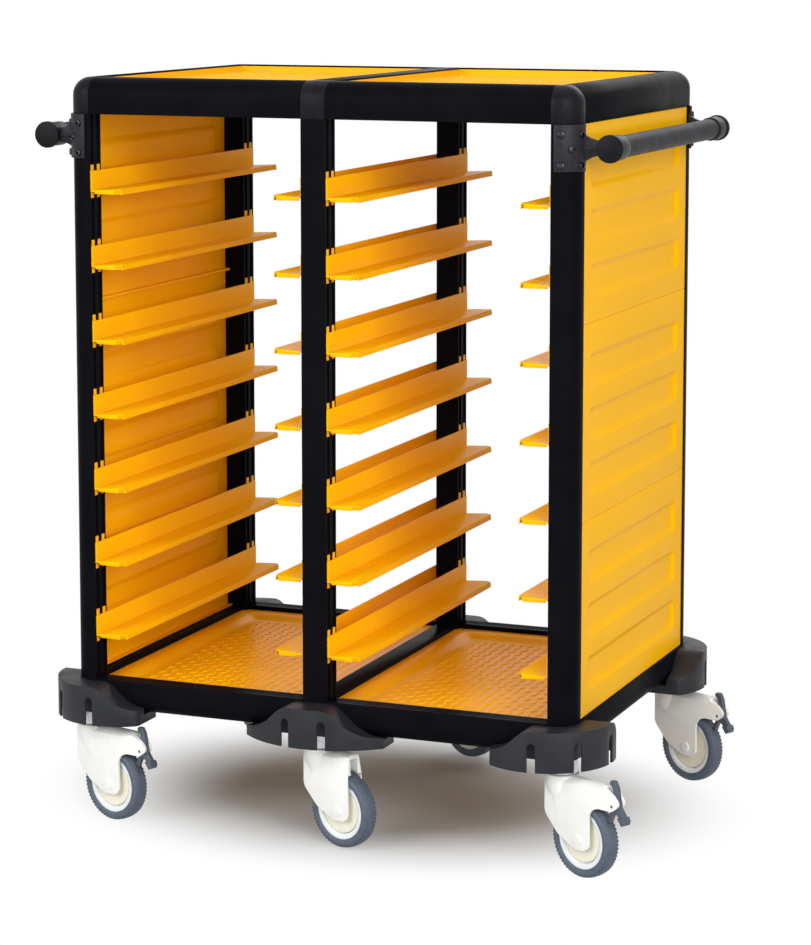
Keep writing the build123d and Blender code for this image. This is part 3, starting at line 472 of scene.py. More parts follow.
def turned(bm, profile, centre, axis, steps, material=0):
    """A closed ring of points (radius, offset along the axis), turned about the axis."""
    axis = Vector(axis).normalized()
    side = axis.orthogonal().normalized()
    up = axis.cross(side)
    rings = []
    for step in range(steps):
        angle = 2 * math.pi * step / steps
        out = side * math.cos(angle) + up * math.sin(angle)
        rings.append([bm.verts.new(centre + axis * offset + out * radius) for radius, offset in profile])
    faces = []
    for here, there in zip(rings, rings[1:] + rings[:1]):
        for k in range(len(profile)):
            n = (k + 1) % len(profile)
            faces.append(bm.faces.new((here[k], here[n], there[n], there[k])))
    for face in faces:
        face.material_index = material
    bmesh.ops.recalc_face_normals(bm, faces=faces)


def mirrored(side):
    """A closed profile: the points of one side, then the same points of the other side."""
    return side + [(radius, -offset) for radius, offset in reversed(side)]


def soft_step(share):
    """A smooth rise from 0 to 1."""
    share = min(max(share, 0.0), 1.0)
    return share * share * (3 - 2 * share)


def outside(u, v, half_u, half_v, radius):
    """How far a point lies outside a rounded rectangle about the origin. Negative inside."""
    du = abs(u) - half_u + radius
    dv = abs(v) - half_v + radius
    return math.hypot(max(du, 0), max(dv, 0)) + min(max(du, dv), 0) - radius


def spread(start, end, count):
    """Evenly spaced values from start to end, both counted."""
    return [start + (end - start) * step / (count - 1) for step in range(count)]


# Points of a CAD mesh closer than this are one, and faces that meet at less than this angle are flat
WELD = 0.01 * MM
FLAT = math.radians(0.5)
# Steps across a wide rounded edge
WIDE_STEPS = 4


def soft_copy(node, edge, steps=2, angle=30.0, wide=None, reach=0.0):
    """A copy of a CAD node in whole faces, with rounded edges: first the wide ones, then the others."""
    bm = bmesh.new()
    bm.from_mesh(frame["nodes"][node].data)
    bmesh.ops.remove_doubles(bm, verts=bm.verts, dist=WELD)
    bmesh.ops.dissolve_limit(bm, angle_limit=FLAT, verts=bm.verts, edges=bm.edges)
    if wide:
        round_edges(bm, [e for e in sharp_edges(bm, angle) if wide(e)], reach, WIDE_STEPS)
    round_edges(bm, sharp_edges(bm, angle), edge, steps)
    return bm


def round_edges(bm, edges, reach, steps):
    """Rounds edges, as far as the faces beside them leave room."""
    bmesh.ops.bevel(
        bm, geom=edges, offset=reach, segments=steps, profile=0.5, affect="EDGES", clamp_overlap=True
    )


def sharp_edges(bm, angle):
    """The edges between two faces that meet at more than an angle."""
    return [e for e in bm.edges if len(e.link_faces) == 2 and e.calc_face_angle(0) > math.radians(angle)]


# Node trees


def new_tree(name, inputs):
    """A geometry node tree with named inputs, and its input node's outputs."""
    tree = bpy.data.node_groups.new(name, "GeometryNodeTree")
    tree.interface.new_socket("Geometry", in_out="INPUT", socket_type="NodeSocketGeometry")
    for label, kind in inputs:
        tree.interface.new_socket(label, in_out="INPUT", socket_type=kind)
    tree.interface.new_socket("Geometry", in_out="OUTPUT", socket_type="NodeSocketGeometry")
    return tree, add(tree, "NodeGroupInput").outputs


def end_tree(tree, instances, material):
    """Makes the instances one smooth mesh of one material, and ends the tree."""
    real = add(tree, "GeometryNodeRealizeInstances", {"Geometry": instances})
    smooth = add(tree, "GeometryNodeSetShadeSmooth", {"Geometry": real.outputs[0]})
    painted = add(tree, "GeometryNodeSetMaterial", {"Geometry": smooth.outputs[0], "Material": material})
    add(tree, "NodeGroupOutput", {"Geometry": painted.outputs[0]})


def grown(tree, values, start=None):
    """The plain mesh that a node tree makes, from a starting mesh where it takes one."""
    obj = bpy.data.objects.new(tree.name, start or bpy.data.meshes.new(tree.name))
    bpy.context.scene.collection.objects.link(obj)
    modifier = obj.modifiers.new(tree.name, "NODES")
    modifier.node_group = tree
    for item in tree.interface.items_tree:
        if item.in_out == "INPUT" and item.name in values:
            modifier[item.identifier] = values[item.name]
    return baked(obj)


def tread_tree():
    """Raised dashes in a square grid, each one turned across its neighbours."""
    tree, given = new_tree(
        "tread_dashes",
        [
            ("Across", "NodeSocketInt"), ("Along", "NodeSocketInt"), ("Pitch", "NodeSocketFloat"),
            ("Dash", "NodeSocketVector"), ("Place", "NodeSocketVector"), ("Material", "NodeSocketMaterial"),
        ],
    )
    spans = []
    for label in ("Across", "Along"):
        gaps = add(tree, "ShaderNodeMath", {0: given[label], 1: 1.0}, operation="SUBTRACT")
        span = add(tree, "ShaderNodeMath", {0: gaps.outputs[0], 1: given["Pitch"]}, operation="MULTIPLY")
        spans.append(span.outputs[0])
    points = add(
        tree, "GeometryNodeMeshGrid",
        {
            "Size X": spans[0], "Size Y": spans[1],
            "Vertices X": given["Across"], "Vertices Y": given["Along"],
        },
    )
    index = add(tree, "GeometryNodeInputIndex").outputs[0]
    row = add(tree, "ShaderNodeMath", {0: index, 1: given["Along"]}, operation="DIVIDE")
    column = add(tree, "ShaderNodeMath", {0: row.outputs[0]}, operation="FLOOR")
    both = add(tree, "ShaderNodeMath", {0: index, 1: column.outputs[0]}, operation="ADD")
    shifted = add(tree, "ShaderNodeMath", {0: column.outputs[0], 1: given["Along"]}, operation="MULTIPLY")
    steps = add(tree, "ShaderNodeMath", {0: both.outputs[0], 1: shifted.outputs[0]}, operation="SUBTRACT")
    odd = add(tree, "ShaderNodeMath", {0: steps.outputs[0], 1: 2.0}, operation="MODULO")
    angle = add(
        tree, "ShaderNodeMath", {0: odd.outputs[0], 1: math.radians(90), 2: math.radians(-45)},
        operation="MULTIPLY_ADD",
    )
    euler = add(tree, "ShaderNodeCombineXYZ", {"Z": angle.outputs[0]})
    turn = add(tree, "FunctionNodeEulerToRotation", {0: euler.outputs[0]})
    dash = add(tree, "GeometryNodeMeshUVSphere", {"Segments": 8, "Rings": 4, "Radius": 1.0})
    shaped = add(tree, "GeometryNodeTransform", {"Geometry": dash.outputs[0], "Scale": given["Dash"]})
    dashes = add(
        tree, "GeometryNodeInstanceOnPoints",
        {"Points": points.outputs[0], "Instance": shaped.outputs[0], "Rotation": turn.outputs[0]},
    )
    placed = add(
        tree, "GeometryNodeTransform", {"Geometry": dashes.outputs[0], "Translation": given["Place"]}
    )
    end_tree(tree, placed.outputs[0], given["Material"])
    return tree


def nib_tree():
    """Moulded nibs round both shoulders of a tyre."""
    tree, given = new_tree(
        "tyre_nibs",
        [
            ("Count", "NodeSocketInt"), ("Radius", "NodeSocketFloat"), ("Offset", "NodeSocketFloat"),
            ("Nib", "NodeSocketVector"), ("Turn", "NodeSocketVector"), ("Centre", "NodeSocketVector"),
            ("Material", "NodeSocketMaterial"),
        ],
    )
    circle = add(tree, "GeometryNodeMeshCircle", {"Vertices": given["Count"], "Radius": given["Radius"]})
    index = add(tree, "GeometryNodeInputIndex").outputs[0]
    share = add(tree, "ShaderNodeMath", {0: index, 1: given["Count"]}, operation="DIVIDE")
    angle = add(tree, "ShaderNodeMath", {0: share.outputs[0], 1: 2 * math.pi}, operation="MULTIPLY")
    euler = add(tree, "ShaderNodeCombineXYZ", {"Z": angle.outputs[0]})
    turn = add(tree, "FunctionNodeEulerToRotation", {0: euler.outputs[0]})
    nib = add(tree, "GeometryNodeMeshUVSphere", {"Segments": 6, "Rings": 4, "Radius": 1.0})
    shaped = add(tree, "GeometryNodeTransform", {"Geometry": nib.outputs[0], "Scale": given["Nib"]})
    ring = add(
        tree, "GeometryNodeInstanceOnPoints",
        {"Points": circle.outputs[0], "Instance": shaped.outputs[0], "Rotation": turn.outputs[0]},
    )
    join = add(tree, "GeometryNodeJoinGeometry")
    for sign in (-1.0, 1.0):
        offset = add(tree, "ShaderNodeMath", {0: given["Offset"], 1: sign}, operation="MULTIPLY")
        shift = add(tree, "ShaderNodeCombineXYZ", {"Z": offset.outputs[0]})
        side = add(
            tree, "GeometryNodeTransform", {"Geometry": ring.outputs[0], "Translation": shift.outputs[0]}
        )
        tree.links.new(side.outputs[0], join.inputs[0])
    facing = add(tree, "FunctionNodeEulerToRotation", {0: given["Turn"]})
    placed = add(
        tree, "GeometryNodeTransform",
        {"Geometry": join.outputs[0], "Translation": given["Centre"], "Rotation": facing.outputs[0]},
    )
    end_tree(tree, placed.outputs[0], given["Material"])
    return tree


def screw_tree():
    """A screw head on every point, turned to the point's own direction."""
    tree, given = new_tree(
        "screws",
        [("Head", "NodeSocketObject"), ("Scale", "NodeSocketFloat"), ("Material", "NodeSocketMaterial")],
    )
    head = add(tree, "GeometryNodeObjectInfo", {"Object": given["Head"]})
    way = add(tree, "GeometryNodeInputNamedAttribute", {"Name": "way"}, data_type="FLOAT_VECTOR")
    turn = add(tree, "FunctionNodeAlignRotationToVector", {"Vector": way.outputs[0]}, axis="Z")
    screws = add(
        tree, "GeometryNodeInstanceOnPoints",
        {
            "Points": given["Geometry"], "Instance": head.outputs["Geometry"],
            "Rotation": turn.outputs[0], "Scale": given["Scale"],
        },
    )
    end_tree(tree, screws.outputs[0], given["Material"])
    return tree


# Pieces


def run(build):
    """Builds a group of pieces with the scene's materials."""
    if not hasattr(run, "materials"):
        run.materials = make_materials()
    build(bpy.context.scene, run.materials)
    return {"FINISHED"}


def assign(nodes, material):
    """Gives CAD nodes a finish."""
    for node in nodes:
        mesh = frame["nodes"][node].data
        mesh.materials.clear()
        mesh.materials.append(material)


def build_frame(scene, materials):
    """Posts, beams and caps, with a fine seam where they meet."""
    seam = scene.trolley_fittings.seam
    assign(POSTS + ["post_plugs"], materials["coat"])
    for node in BEAMS:
        bm = soft_copy(node, seam)
        piece(f"coated_{node}", mesh_of(bm, materials["coat"]), "frame", [node])
    for node in ("top_corner_caps", "top_tee_caps"):
        bm = soft_copy(node, seam)
        piece(f"moulded_{node}", mesh_of(bm, materials["fitting"]), "frame", [node])


# Points across the soft slope of a flute or a dish
SLOPE_STEPS = 9
# The lines across a flute: close ones round its ends, from inside the slope to past the mouth, and a
# few over the straight stretch, which is a share of its length
END_STEPS = 14
END_INSIDE = 4 * MM
END_PAST = 2 * MM
STRAIGHT_STEPS = 5
STRAIGHT = 0.8
# The turns of a hem's bend, between its two flat sides
HEM_TURNS = (math.radians(30), math.radians(60))


def panel_rows(settings, outer, low, high, edge):
    """Rows of points over one panel, from its lower hem round its face to its upper hem."""
    bend = settings.bend
    clear = edge - settings.setback
    half = settings.length / 2
    tops = [high - settings.first - index * settings.pitch for index in range(settings.flutes)]
    heights = [low + bend, high - bend]
    for top in tops:
        bottom = top - settings.height
        heights += spread(bottom, bottom + settings.slope, SLOPE_STEPS)
        heights += spread(top - settings.slope, top, SLOPE_STEPS)
    ends = spread(half - settings.slope - END_INSIDE, half + END_PAST, END_STEPS)
    straight = spread(-half * STRAIGHT, half * STRAIGHT, STRAIGHT_STEPS)
    lines = [-edge, *[-y for y in reversed(ends)], *straight, *ends, edge]
    path = [(outer - settings.hem, low, clear), (outer - bend, low, clear)]
    for turn in HEM_TURNS:
        path.append((outer - bend + bend * math.sin(turn), low + bend - bend * math.cos(turn), clear))
    path += [(outer, z, edge) for z in sorted(set(round(z, 6) for z in heights))]
    for turn in reversed(HEM_TURNS):
        path.append((outer - bend + bend * math.sin(turn), high - bend + bend * math.cos(turn), clear))
    path += [(outer - bend, high, clear), (outer - settings.hem, high, clear)]
    rows = []
    for x, z, reach in path:
        row = []
        for y in lines:
            depth = flute_depth(settings, tops, y, z) if reach == edge else 0.0
            row.append((x - depth, max(-reach, min(reach, y)), z))
        rows.append(row)
    return rows


def flute_depth(settings, tops, y, z):
    """How deep a panel is pressed in at a point of its face."""
    half_y, half_z = settings.length / 2, settings.height / 2
    depth = 0.0
    for top in tops:
        far = outside(y, z - top + half_z, half_y, half_z, settings.corner)
        depth = max(depth, settings.depth * soft_step(-far / settings.slope))
    return depth


def build_panels(scene, materials):
    """The pressed side panels, three on each side."""
    settings = scene.trolley_panel
    for side, sign in (("left", -1), ("right", 1)):
        node = f"side_panels_{side}"
        low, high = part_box(node)
        outer = max(abs(low.x), abs(high.x))
        height = (high.z - low.z) / settings.count
        bm = bmesh.new()
        for level in range(settings.count):
            bottom = low.z + level * height
            rows = panel_rows(settings, outer, bottom, bottom + height, high.y)
            grid(bm, [[(sign * x, sign * y, z) for x, y, z in row] for row in rows])
        mesh = thickened(mesh_of(bm, materials["orange"]), settings.sheet)
        piece(f"pressed_panels_{side}", mesh, "frame", [node])


# The lines over the flat of a pan's dish: how far from its middle across, and at what share of its
# half depth
FLAT_ACROSS = 60 * MM
FLAT_ALONG = 0.6
# The clear strip between a dish's slope and the dashes, as a share of a dash's length
TREAD_CLEAR = 0.6


def build_pans(scene, materials):
    """Floor pans and top plates with their raised dashes."""
    pan = scene.trolley_pan
    tread = scene.trolley_tread
    tree = tread_tree()
    for side, sign in (("left", -1), ("right", 1)):
        node = f"floor_pan_{side}"
        low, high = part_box(node)
        near, far = sorted((abs(low.x), abs(high.x)))
        mesh = pan_mesh(pan, near, far, high, sign, materials["tread"])
        piece(f"dished_floor_pan_{side}", mesh, "frame", [node])
        margin = pan.border + pan.slope + tread.length * TREAD_CLEAR
        lay_tread(
            f"floor_tread_{side}", tree, tread, materials, (sign * (near + far) / 2, 0, high.z - pan.drop),
            far - near - 2 * margin, 2 * (high.y - margin),
        )
        plate = f"top_plate_{side}"
        low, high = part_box(plate)
        mesh = plate_mesh(pan, low, high, materials["tread"])
        piece(f"lipped_top_plate_{side}", mesh, "frame", [plate])
        lay_tread(
            f"top_tread_{side}", tree, tread, materials, ((low.x + high.x) / 2, 0, low.z + pan.sheet),
            high.x - low.x - 2 * tread.length, high.y - low.y - 2 * tread.length,
        )


def pan_mesh(pan, near, far, high, sign, material):
    """A floor pan between two distances from the trolley's middle: a dish in a border, notched for posts."""
    centre, half_x, half_y = (near + far) / 2, (far - near) / 2, high.y
    foot_x = near + pan.border
    xs = [near, near + pan.notch_inner, *spread(foot_x, foot_x + pan.slope, SLOPE_STEPS)]
    xs.append(centre - FLAT_ACROSS)
    xs = [*xs, *[2 * centre - x for x in reversed(xs)]]
    xs[-2] = far - pan.notch_outer
    foot_y = half_y - pan.border
    ys = [half_y, half_y - pan.notch_end, *spread(foot_y, foot_y - pan.slope, SLOPE_STEPS)]
    ys += [half_y * FLAT_ALONG, 0.0]
    ys = [*ys, *[-y for y in reversed(ys[:-1])]]
    rows = []
    for x in xs:
        row = []
        for y in ys:
            gap = outside(x - centre, y, half_x - pan.border, half_y - pan.border, pan.round)
            row.append((sign * x, sign * y, high.z - pan.drop * soft_step(-gap / pan.slope)))
        rows.append(row)
    last_x, last_y = len(xs) - 2, len(ys) - 2
    bm = bmesh.new()
    grid(bm, rows, lambda i, k: i not in (0, last_x) or k not in (0, last_y))
    return thickened(mesh_of(bm, material), pan.sheet)


def lay_tread(name, tree, tread, materials, place, width, depth):
    """A field of dashes on a plate."""
    mesh = grown(
        tree,
        {
            "Across": int(width / tread.pitch) + 1,
            "Along": int(depth / tread.pitch) + 1,
            "Pitch": tread.pitch,
            "Dash": (tread.length / 2, tread.width / 2, tread.height),
            "Place": place,
            "Material": materials["tread"],
        },
    )
    piece(name, mesh, "frame")


# The turns of the bend under a plate's lip, and the points round each of its corners
LIP_TURNS = spread(0.4, math.pi / 2, 4)
CORNER_STEPS = 5


def plate_mesh(pan, low, high, material):
    """A plate with a turned-up lip and small round corners."""
    bend, corner = pan.bend, pan.corner
    bm = bmesh.new()
    rings = []
    steps = [(0.0, high.z), (0.0, low.z + bend)]
    steps += [(bend * (1 - math.cos(turn)), low.z + bend * (1 - math.sin(turn))) for turn in LIP_TURNS]
    for inset, z in steps:
        radius = corner - inset
        ring = []
        for sx, sy, start in ((1, 1, 0), (-1, 1, 90), (-1, -1, 180), (1, -1, 270)):
            cx = (high.x if sx > 0 else low.x) - sx * corner
            cy = (high.y if sy > 0 else low.y) - sy * corner
            for angle in spread(start, start + 90, CORNER_STEPS):
                turn = math.radians(angle)
                ring.append(bm.verts.new((cx + radius * math.cos(turn), cy + radius * math.sin(turn), z)))
        rings.append(ring)
    for here, there in zip(rings, rings[1:]):
        for k in range(len(here)):
            n = (k + 1) % len(here)
            bm.faces.new((here[k], there[k], there[n], here[n]))
    bm.faces.new(list(reversed(rings[-1])))
    bmesh.ops.recalc_face_normals(bm, faces=bm.faces)
    lowest = min(bm.faces, key=lambda face: face.calc_center_median().z)
    if lowest.normal.z > 0:
        bmesh.ops.reverse_faces(bm, faces=bm.faces)
    return thickened(mesh_of(bm, material), pan.sheet)


def build_rails(scene, materials):
    """The four columns of tray rails, their end hems bent back and closed at the corners."""
    settings = scene.trolley_rail
    levels = [settings.first + level * settings.pitch for level in range(settings.count)]
    for side in ("left", "right"):
        for column in ("outer", "inner"):
            node = f"rails_{side}_{column}"
            low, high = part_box(node)
            end = high.y
            near, far = sorted((low.x, high.x), key=abs)
            web, toward = (far, near) if column == "outer" else (near, far)
            sign = 1 if toward > web else -1
            free = toward - sign * settings.lip
            hem = sorted((free - sign * settings.cut, web + sign * settings.inset))
            bm = soft_copy(node, scene.trolley_fittings.rail)
            tuck_hems(bm, settings, levels, end, hem)
            for z in levels:
                for side_y in (-1, 1):
                    close_corner(bm, settings, (free, side_y * end, z), sign, side_y)
            piece(f"folded_{node}", mesh_of(bm, materials["orange"]), "frame", [node])


# How far past its own place a point still counts as part of a hem
HEM_SLACK = 0.6 * MM
# A closed corner of a hem: how far it reaches up into the flange and stands back from the rail's end,
# and the share of the tuck that is left at the lip
HEM_OVERLAP = 1.5 * MM
HEM_BACK = 0.3 * MM
TUCK_AT_LIP = 0.4


def tuck_hems(bm, settings, levels, end, hem):
    """Leans the hems at the rails' ends back under the flanges."""
    for vert in bm.verts:
        under = [z - vert.co.z for z in levels if 0 < z - vert.co.z <= settings.hem + HEM_SLACK]
        at_end = abs(vert.co.y) > end - settings.sheet - HEM_SLACK
        if under and at_end and hem[0] - HEM_SLACK < vert.co.x < hem[1] + HEM_SLACK:
            vert.co.y -= math.copysign(settings.tuck * min(under[0] / settings.hem, 1), vert.co.y)


def close_corner(bm, settings, free, sign, side_y):
    """The hem's short turn round a cut corner, from the end to the lip."""
    x, y, z = free
    ends = [
        (x - sign * settings.cut, y, 1.0),
        (x + sign * (settings.lip - settings.sheet / 2), y - side_y * settings.cut_long, TUCK_AT_LIP),
    ]
    rings = []
    for near_x, near_y, share in ends:
        back = settings.tuck * share
        outline = [
            (0.0, HEM_OVERLAP), (settings.sheet, HEM_OVERLAP),
            (settings.sheet + back, -settings.hem), (back, -settings.hem),
        ]
        points = [(near_x, near_y - side_y * (HEM_BACK + depth), z + rise) for depth, rise in outline]
        rings.append([bm.verts.new(point) for point in points])
    here, there = rings
    faces = [bm.faces.new(here), bm.faces.new(list(reversed(there)))]
    for k in range(len(here)):
        n = (k + 1) % len(here)
        faces.append(bm.faces.new((here[n], here[k], there[k], there[n])))
    bmesh.ops.recalc_face_normals(bm, faces=faces)


# The bracket screws: degrees from the front or rear, and mm above the bracket's middle
SCREWS = [(17, 21.5), (70, 21.5), (42, -1.5), (17, -27.5), (70, -27.5)]
# The middle of a corner post's round, and the reach from there to the bracket's face
POST_ROUND = (407 * MM, 286 * MM)
BRACKET_FACE = 39.9 * MM


def build_handles(scene, materials):
    """The push handles, with the screws of their brackets."""
    settings = scene.trolley_fittings
    assign(["handle_tube_left", "handle_tube_right"], materials["handle"])
    finishes = {
        "handle_brackets_left": "bracket",
        "handle_brackets_right": "bracket",
        "handle_end_caps": "fitting",
    }
    for node, name in finishes.items():
        bm = soft_copy(node, settings.fitting)
        piece(f"moulded_{node}", mesh_of(bm, materials[name]), "frame", [node])
    low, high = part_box("handle_brackets_right")
    level = (low.z + high.z) / 2
    points = []
    for side_x in (-1, 1):
        for side_y in (-1, 1):
            for angle, rise in SCREWS:
                turn = math.radians(angle)
                way = Vector((side_x * math.sin(turn), side_y * math.cos(turn), 0))
                middle = Vector((side_x * POST_ROUND[0], side_y * POST_ROUND[1], level + rise * MM))
                points.append((middle + way * BRACKET_FACE, way))
    places = bpy.data.meshes.new("screw_places")
    places.from_pydata([place for place, way in points], [], [])
    ways = places.attributes.new("way", "FLOAT_VECTOR", "POINT")
    ways.data.foreach_set("vector", [value for place, way in points for value in way])
    head = bpy.data.objects.new("screw_head", screw_head(settings.screw))
    scene.collection.objects.link(head)
    screws = grown(screw_tree(), {"Head": head, "Scale": 1.0, "Material": materials["screw"]}, places)
    bpy.data.objects.remove(head)
    piece("bracket_screws", screws, "frame")


# A screw head from its foot over its dome into its socket: radius, height and depth of the lobes, as
# shares of the head's radius
HEAD_RINGS = [(1.0, 0.0, 0.0), (1.0, 0.26, 0.0), (0.93, 0.42, 0.0), (0.7, 0.54, 0.0), (0.5, 0.58, 0.0)]
HEAD_RINGS += [(0.46, 0.54, 0.07), (0.44, 0.1, 0.07)]
HEAD_LOBES = 6
HEAD_STEPS = 24


def screw_head(radius):
    """A low domed head with a six-lobed socket, standing on the XY plane."""
    bm = bmesh.new()
    lines = []
    for share, height, lobe in HEAD_RINGS:
        line = []
        for step in range(HEAD_STEPS):
            angle = 2 * math.pi * step / HEAD_STEPS
            reach = radius * (share + lobe * math.cos(HEAD_LOBES * angle))
            line.append(bm.verts.new((reach * math.cos(angle), reach * math.sin(angle), radius * height)))
        lines.append(line)
    for here, there in zip(lines, lines[1:]):
        for k in range(HEAD_STEPS):
            n = (k + 1) % HEAD_STEPS
            bm.faces.new((here[k], here[n], there[n], there[k]))
    bm.faces.new(list(reversed(lines[0])))
    bm.faces.new(lines[-1])
    return mesh_of(bm, [])


# The middles of the bumpers' rounds, from the trolley's middle
BUMPERS = {"corner_bumpers": (381 * MM, 260 * MM), "middle_bumpers": (0, 204 * MM)}


def build_bumpers(scene, materials):
    """The bumpers round the feet of the posts, with wide soft shoulders."""
    settings = scene.trolley_fittings
    for node, centre in BUMPERS.items():

        def shoulder(edge):
            """Whether an edge lies between an outer wall and the top."""
            wall, top = sorted(edge.link_faces, key=lambda face: face.normal.z)
            middle = (edge.verts[0].co + edge.verts[1].co) / 2
            side_x = 1 if middle.x > 0 else -1
            side_y = 1 if middle.y > 0 else -1
            out = Vector((middle.x - side_x * centre[0], middle.y - side_y * centre[1], 0))
            upright = abs(wall.normal.z) < 0.1
            faces_up = top.normal.z > 0.4
            return upright and faces_up and wall.normal.dot(out) > 0

        bm = soft_copy(node, settings.bumper, wide=shoulder, reach=settings.shoulder)
        piece(f"moulded_{node}", mesh_of(bm, materials["bumper"]), "frame", [node])


# Edges of forks and pedals that turn by more degrees than this are rounded
MOULDED_ANGLE = 24.0


def build_castors(scene, materials):
    """Castor heads, forks, wheels and brake pedals."""
    assign(["castor_heads"], materials["zinc"])
    soft = scene.trolley_fittings
    settings = scene.trolley_wheel
    tree = nib_tree()
    for place in CASTORS:
        node = f"fork_{place}"
        bm = soft_copy(node, soft.fork, steps=4, angle=MOULDED_ANGLE)
        piece(f"moulded_{node}", mesh_of(bm, materials["fork"]), node, [node])
        spin = JOINTS[f"wheel_spin_{place}"]
        centre, axis = Vector(spin["pos_m"]), Vector(spin["axis"])
        turn = axis.to_track_quat("Z", "X").to_euler()
        build_wheel(place, settings, centre, axis, turn, tree, materials)
    for place in BRAKED:
        node = f"brake_pedal_{place}"
        bm = soft_copy(node, soft.pedal, steps=3, angle=MOULDED_ANGLE)
        piece(f"moulded_{node}", mesh_of(bm, materials["pedal"]), f"pedal_{place}", [node])


# One side of each turned outline of a wheel, in mm: radius, and offset from the wheel's middle
TYRE_SIDE = [
    (48.0, 11.0), (49.0, 12.5), (51.2, 13.6), (54.2, 14.0), (57.0, 13.4), (59.3, 12.0), (61.0, 10.0),
    (62.0, 7.4), (62.5, 4.0), (62.5, 1.5),
]
DISC_SIDE = [
    (6.05, 14.0), (12.8, 14.0), (14.0, 12.8), (14.8, 9.2), (16.4, 8.0), (20.0, 7.4), (33.0, 8.8),
    (36.6, 9.0), (37.9, 8.2), (38.5, 5.0),
]
RIM_SIDE = [(38.5, 5.0), (39.4, 8.2), (40.4, 10.2), (42.2, 11.0), (46.0, 11.2), (48.0, 11.0)]


def build_wheel(place, settings, centre, axis, turn, tree, materials):
    """One wheel: its tyre with nibs, its cream disc and its white rim."""
    scaled = [(radius * MM, offset * MM) for radius, offset in TYRE_SIDE]
    bm = bmesh.new()
    turned(bm, mirrored(scaled), centre, axis, settings.steps)
    mesh = mesh_of(bm, materials["rubber"])
    piece(f"moulded_tyre_{place}", mesh, f"wheel_{place}", [f"tyre_{place}"])
    nibs = grown(
        tree,
        {
            "Count": settings.nibs, "Radius": settings.nib_radius, "Offset": settings.nib_offset,
            "Nib": settings.nib, "Turn": turn, "Centre": centre, "Material": materials["rubber"],
        },
    )
    piece(f"tyre_nibs_{place}", nibs, f"wheel_{place}")
    bm = bmesh.new()
    disc = [(radius * MM, offset * MM) for radius, offset in DISC_SIDE]
    turned(bm, mirrored(disc), centre, axis, settings.steps)
    rim = [(radius * MM, offset * MM) for radius, offset in RIM_SIDE]
    turned(bm, mirrored(rim), centre, axis, settings.steps, material=1)
    mesh = mesh_of(bm, [materials["disc"], materials["rim"]])
    piece(f"wheel_centre_{place}", mesh, f"wheel_{place}", [f"wheel_hub_{place}"])


# Stage


# The floor is a disc of this radius, in metres
FLOOR_RADIUS = 14
# The floor's pale patch: its half width and half depth, with a 1 for the height, and the shares of
# them between which it goes over to white
PATCH = (0.62, 0.47, 1.0)
FADE = (0.4, 1.05)
# The paint's two tones, and the size of its mottle in mm
PAINT = ("#B1B1B1", "#B8B8B8")
MOTTLE = 40
# Where each lamp stands, its width and its height, in metres. All point at the trolley's middle
LAMPS = {
    "key": ((3.2, -3.3, 2.1), 3.4, 2.8),
    "fill": ((-2.2, -4.0, 2.3), 3.4, 2.8),
    "overhead": ((0.3, 0.2, 4.0), 3.2, 2.6),
    "back": ((0.6, 4.0, 3.2), 3.4, 1.2),
}
MIDDLE = Vector((0, 0, 0.6))
WHITE = (1, 1, 1, 1)


def build_stage(scene, materials):
    """Floor, white surroundings, soft lights and the camera."""
    stage = scene.trolley_stage
    scene.view_settings.view_transform = "Standard"
    camera = bpy.data.objects.new("camera", bpy.data.cameras.new("camera"))
    scene.collection.objects.link(camera)
    camera.location = stage.place
    camera.rotation_euler = (math.pi / 2 - stage.pitch, 0, stage.yaw)
    camera.data.lens = stage.lens
    camera.data.shift_y = stage.shift
    camera.data.clip_end = 100
    scene.camera = camera
    bm = bmesh.new()
    bmesh.ops.create_circle(bm, cap_ends=True, segments=96, radius=FLOOR_RADIUS)
    floor = bpy.data.objects.new("floor", mesh_of(bm, floor_material()))
    scene.collection.objects.link(floor)
    make_world(scene, stage.sky)
    for name, (place, width, height) in LAMPS.items():
        lamp = bpy.data.lights.new(name, "AREA")
        lamp.energy = getattr(stage, name)
        lamp.shape = "RECTANGLE"
        lamp.size = width
        lamp.size_y = height
        light = bpy.data.objects.new(name, lamp)
        light.location = place
        light.rotation_euler = (Vector(place) - MIDDLE).to_track_quat("Z", "Y").to_euler()
        scene.collection.objects.link(light)


def shown(tree):
    """1 for the camera's own rays and for those that gloss or glass sends on, 0 for light."""
    path = add(tree, "ShaderNodeLightPath").outputs
    seen = add(
        tree, "ShaderNodeMath", {0: path["Is Camera Ray"], 1: path["Is Glossy Ray"]}, operation="MAXIMUM"
    )
    return add(
        tree, "ShaderNodeMath", {0: seen.outputs[0], 1: path["Is Transmission Ray"]}, operation="MAXIMUM"
    ).outputs[0]


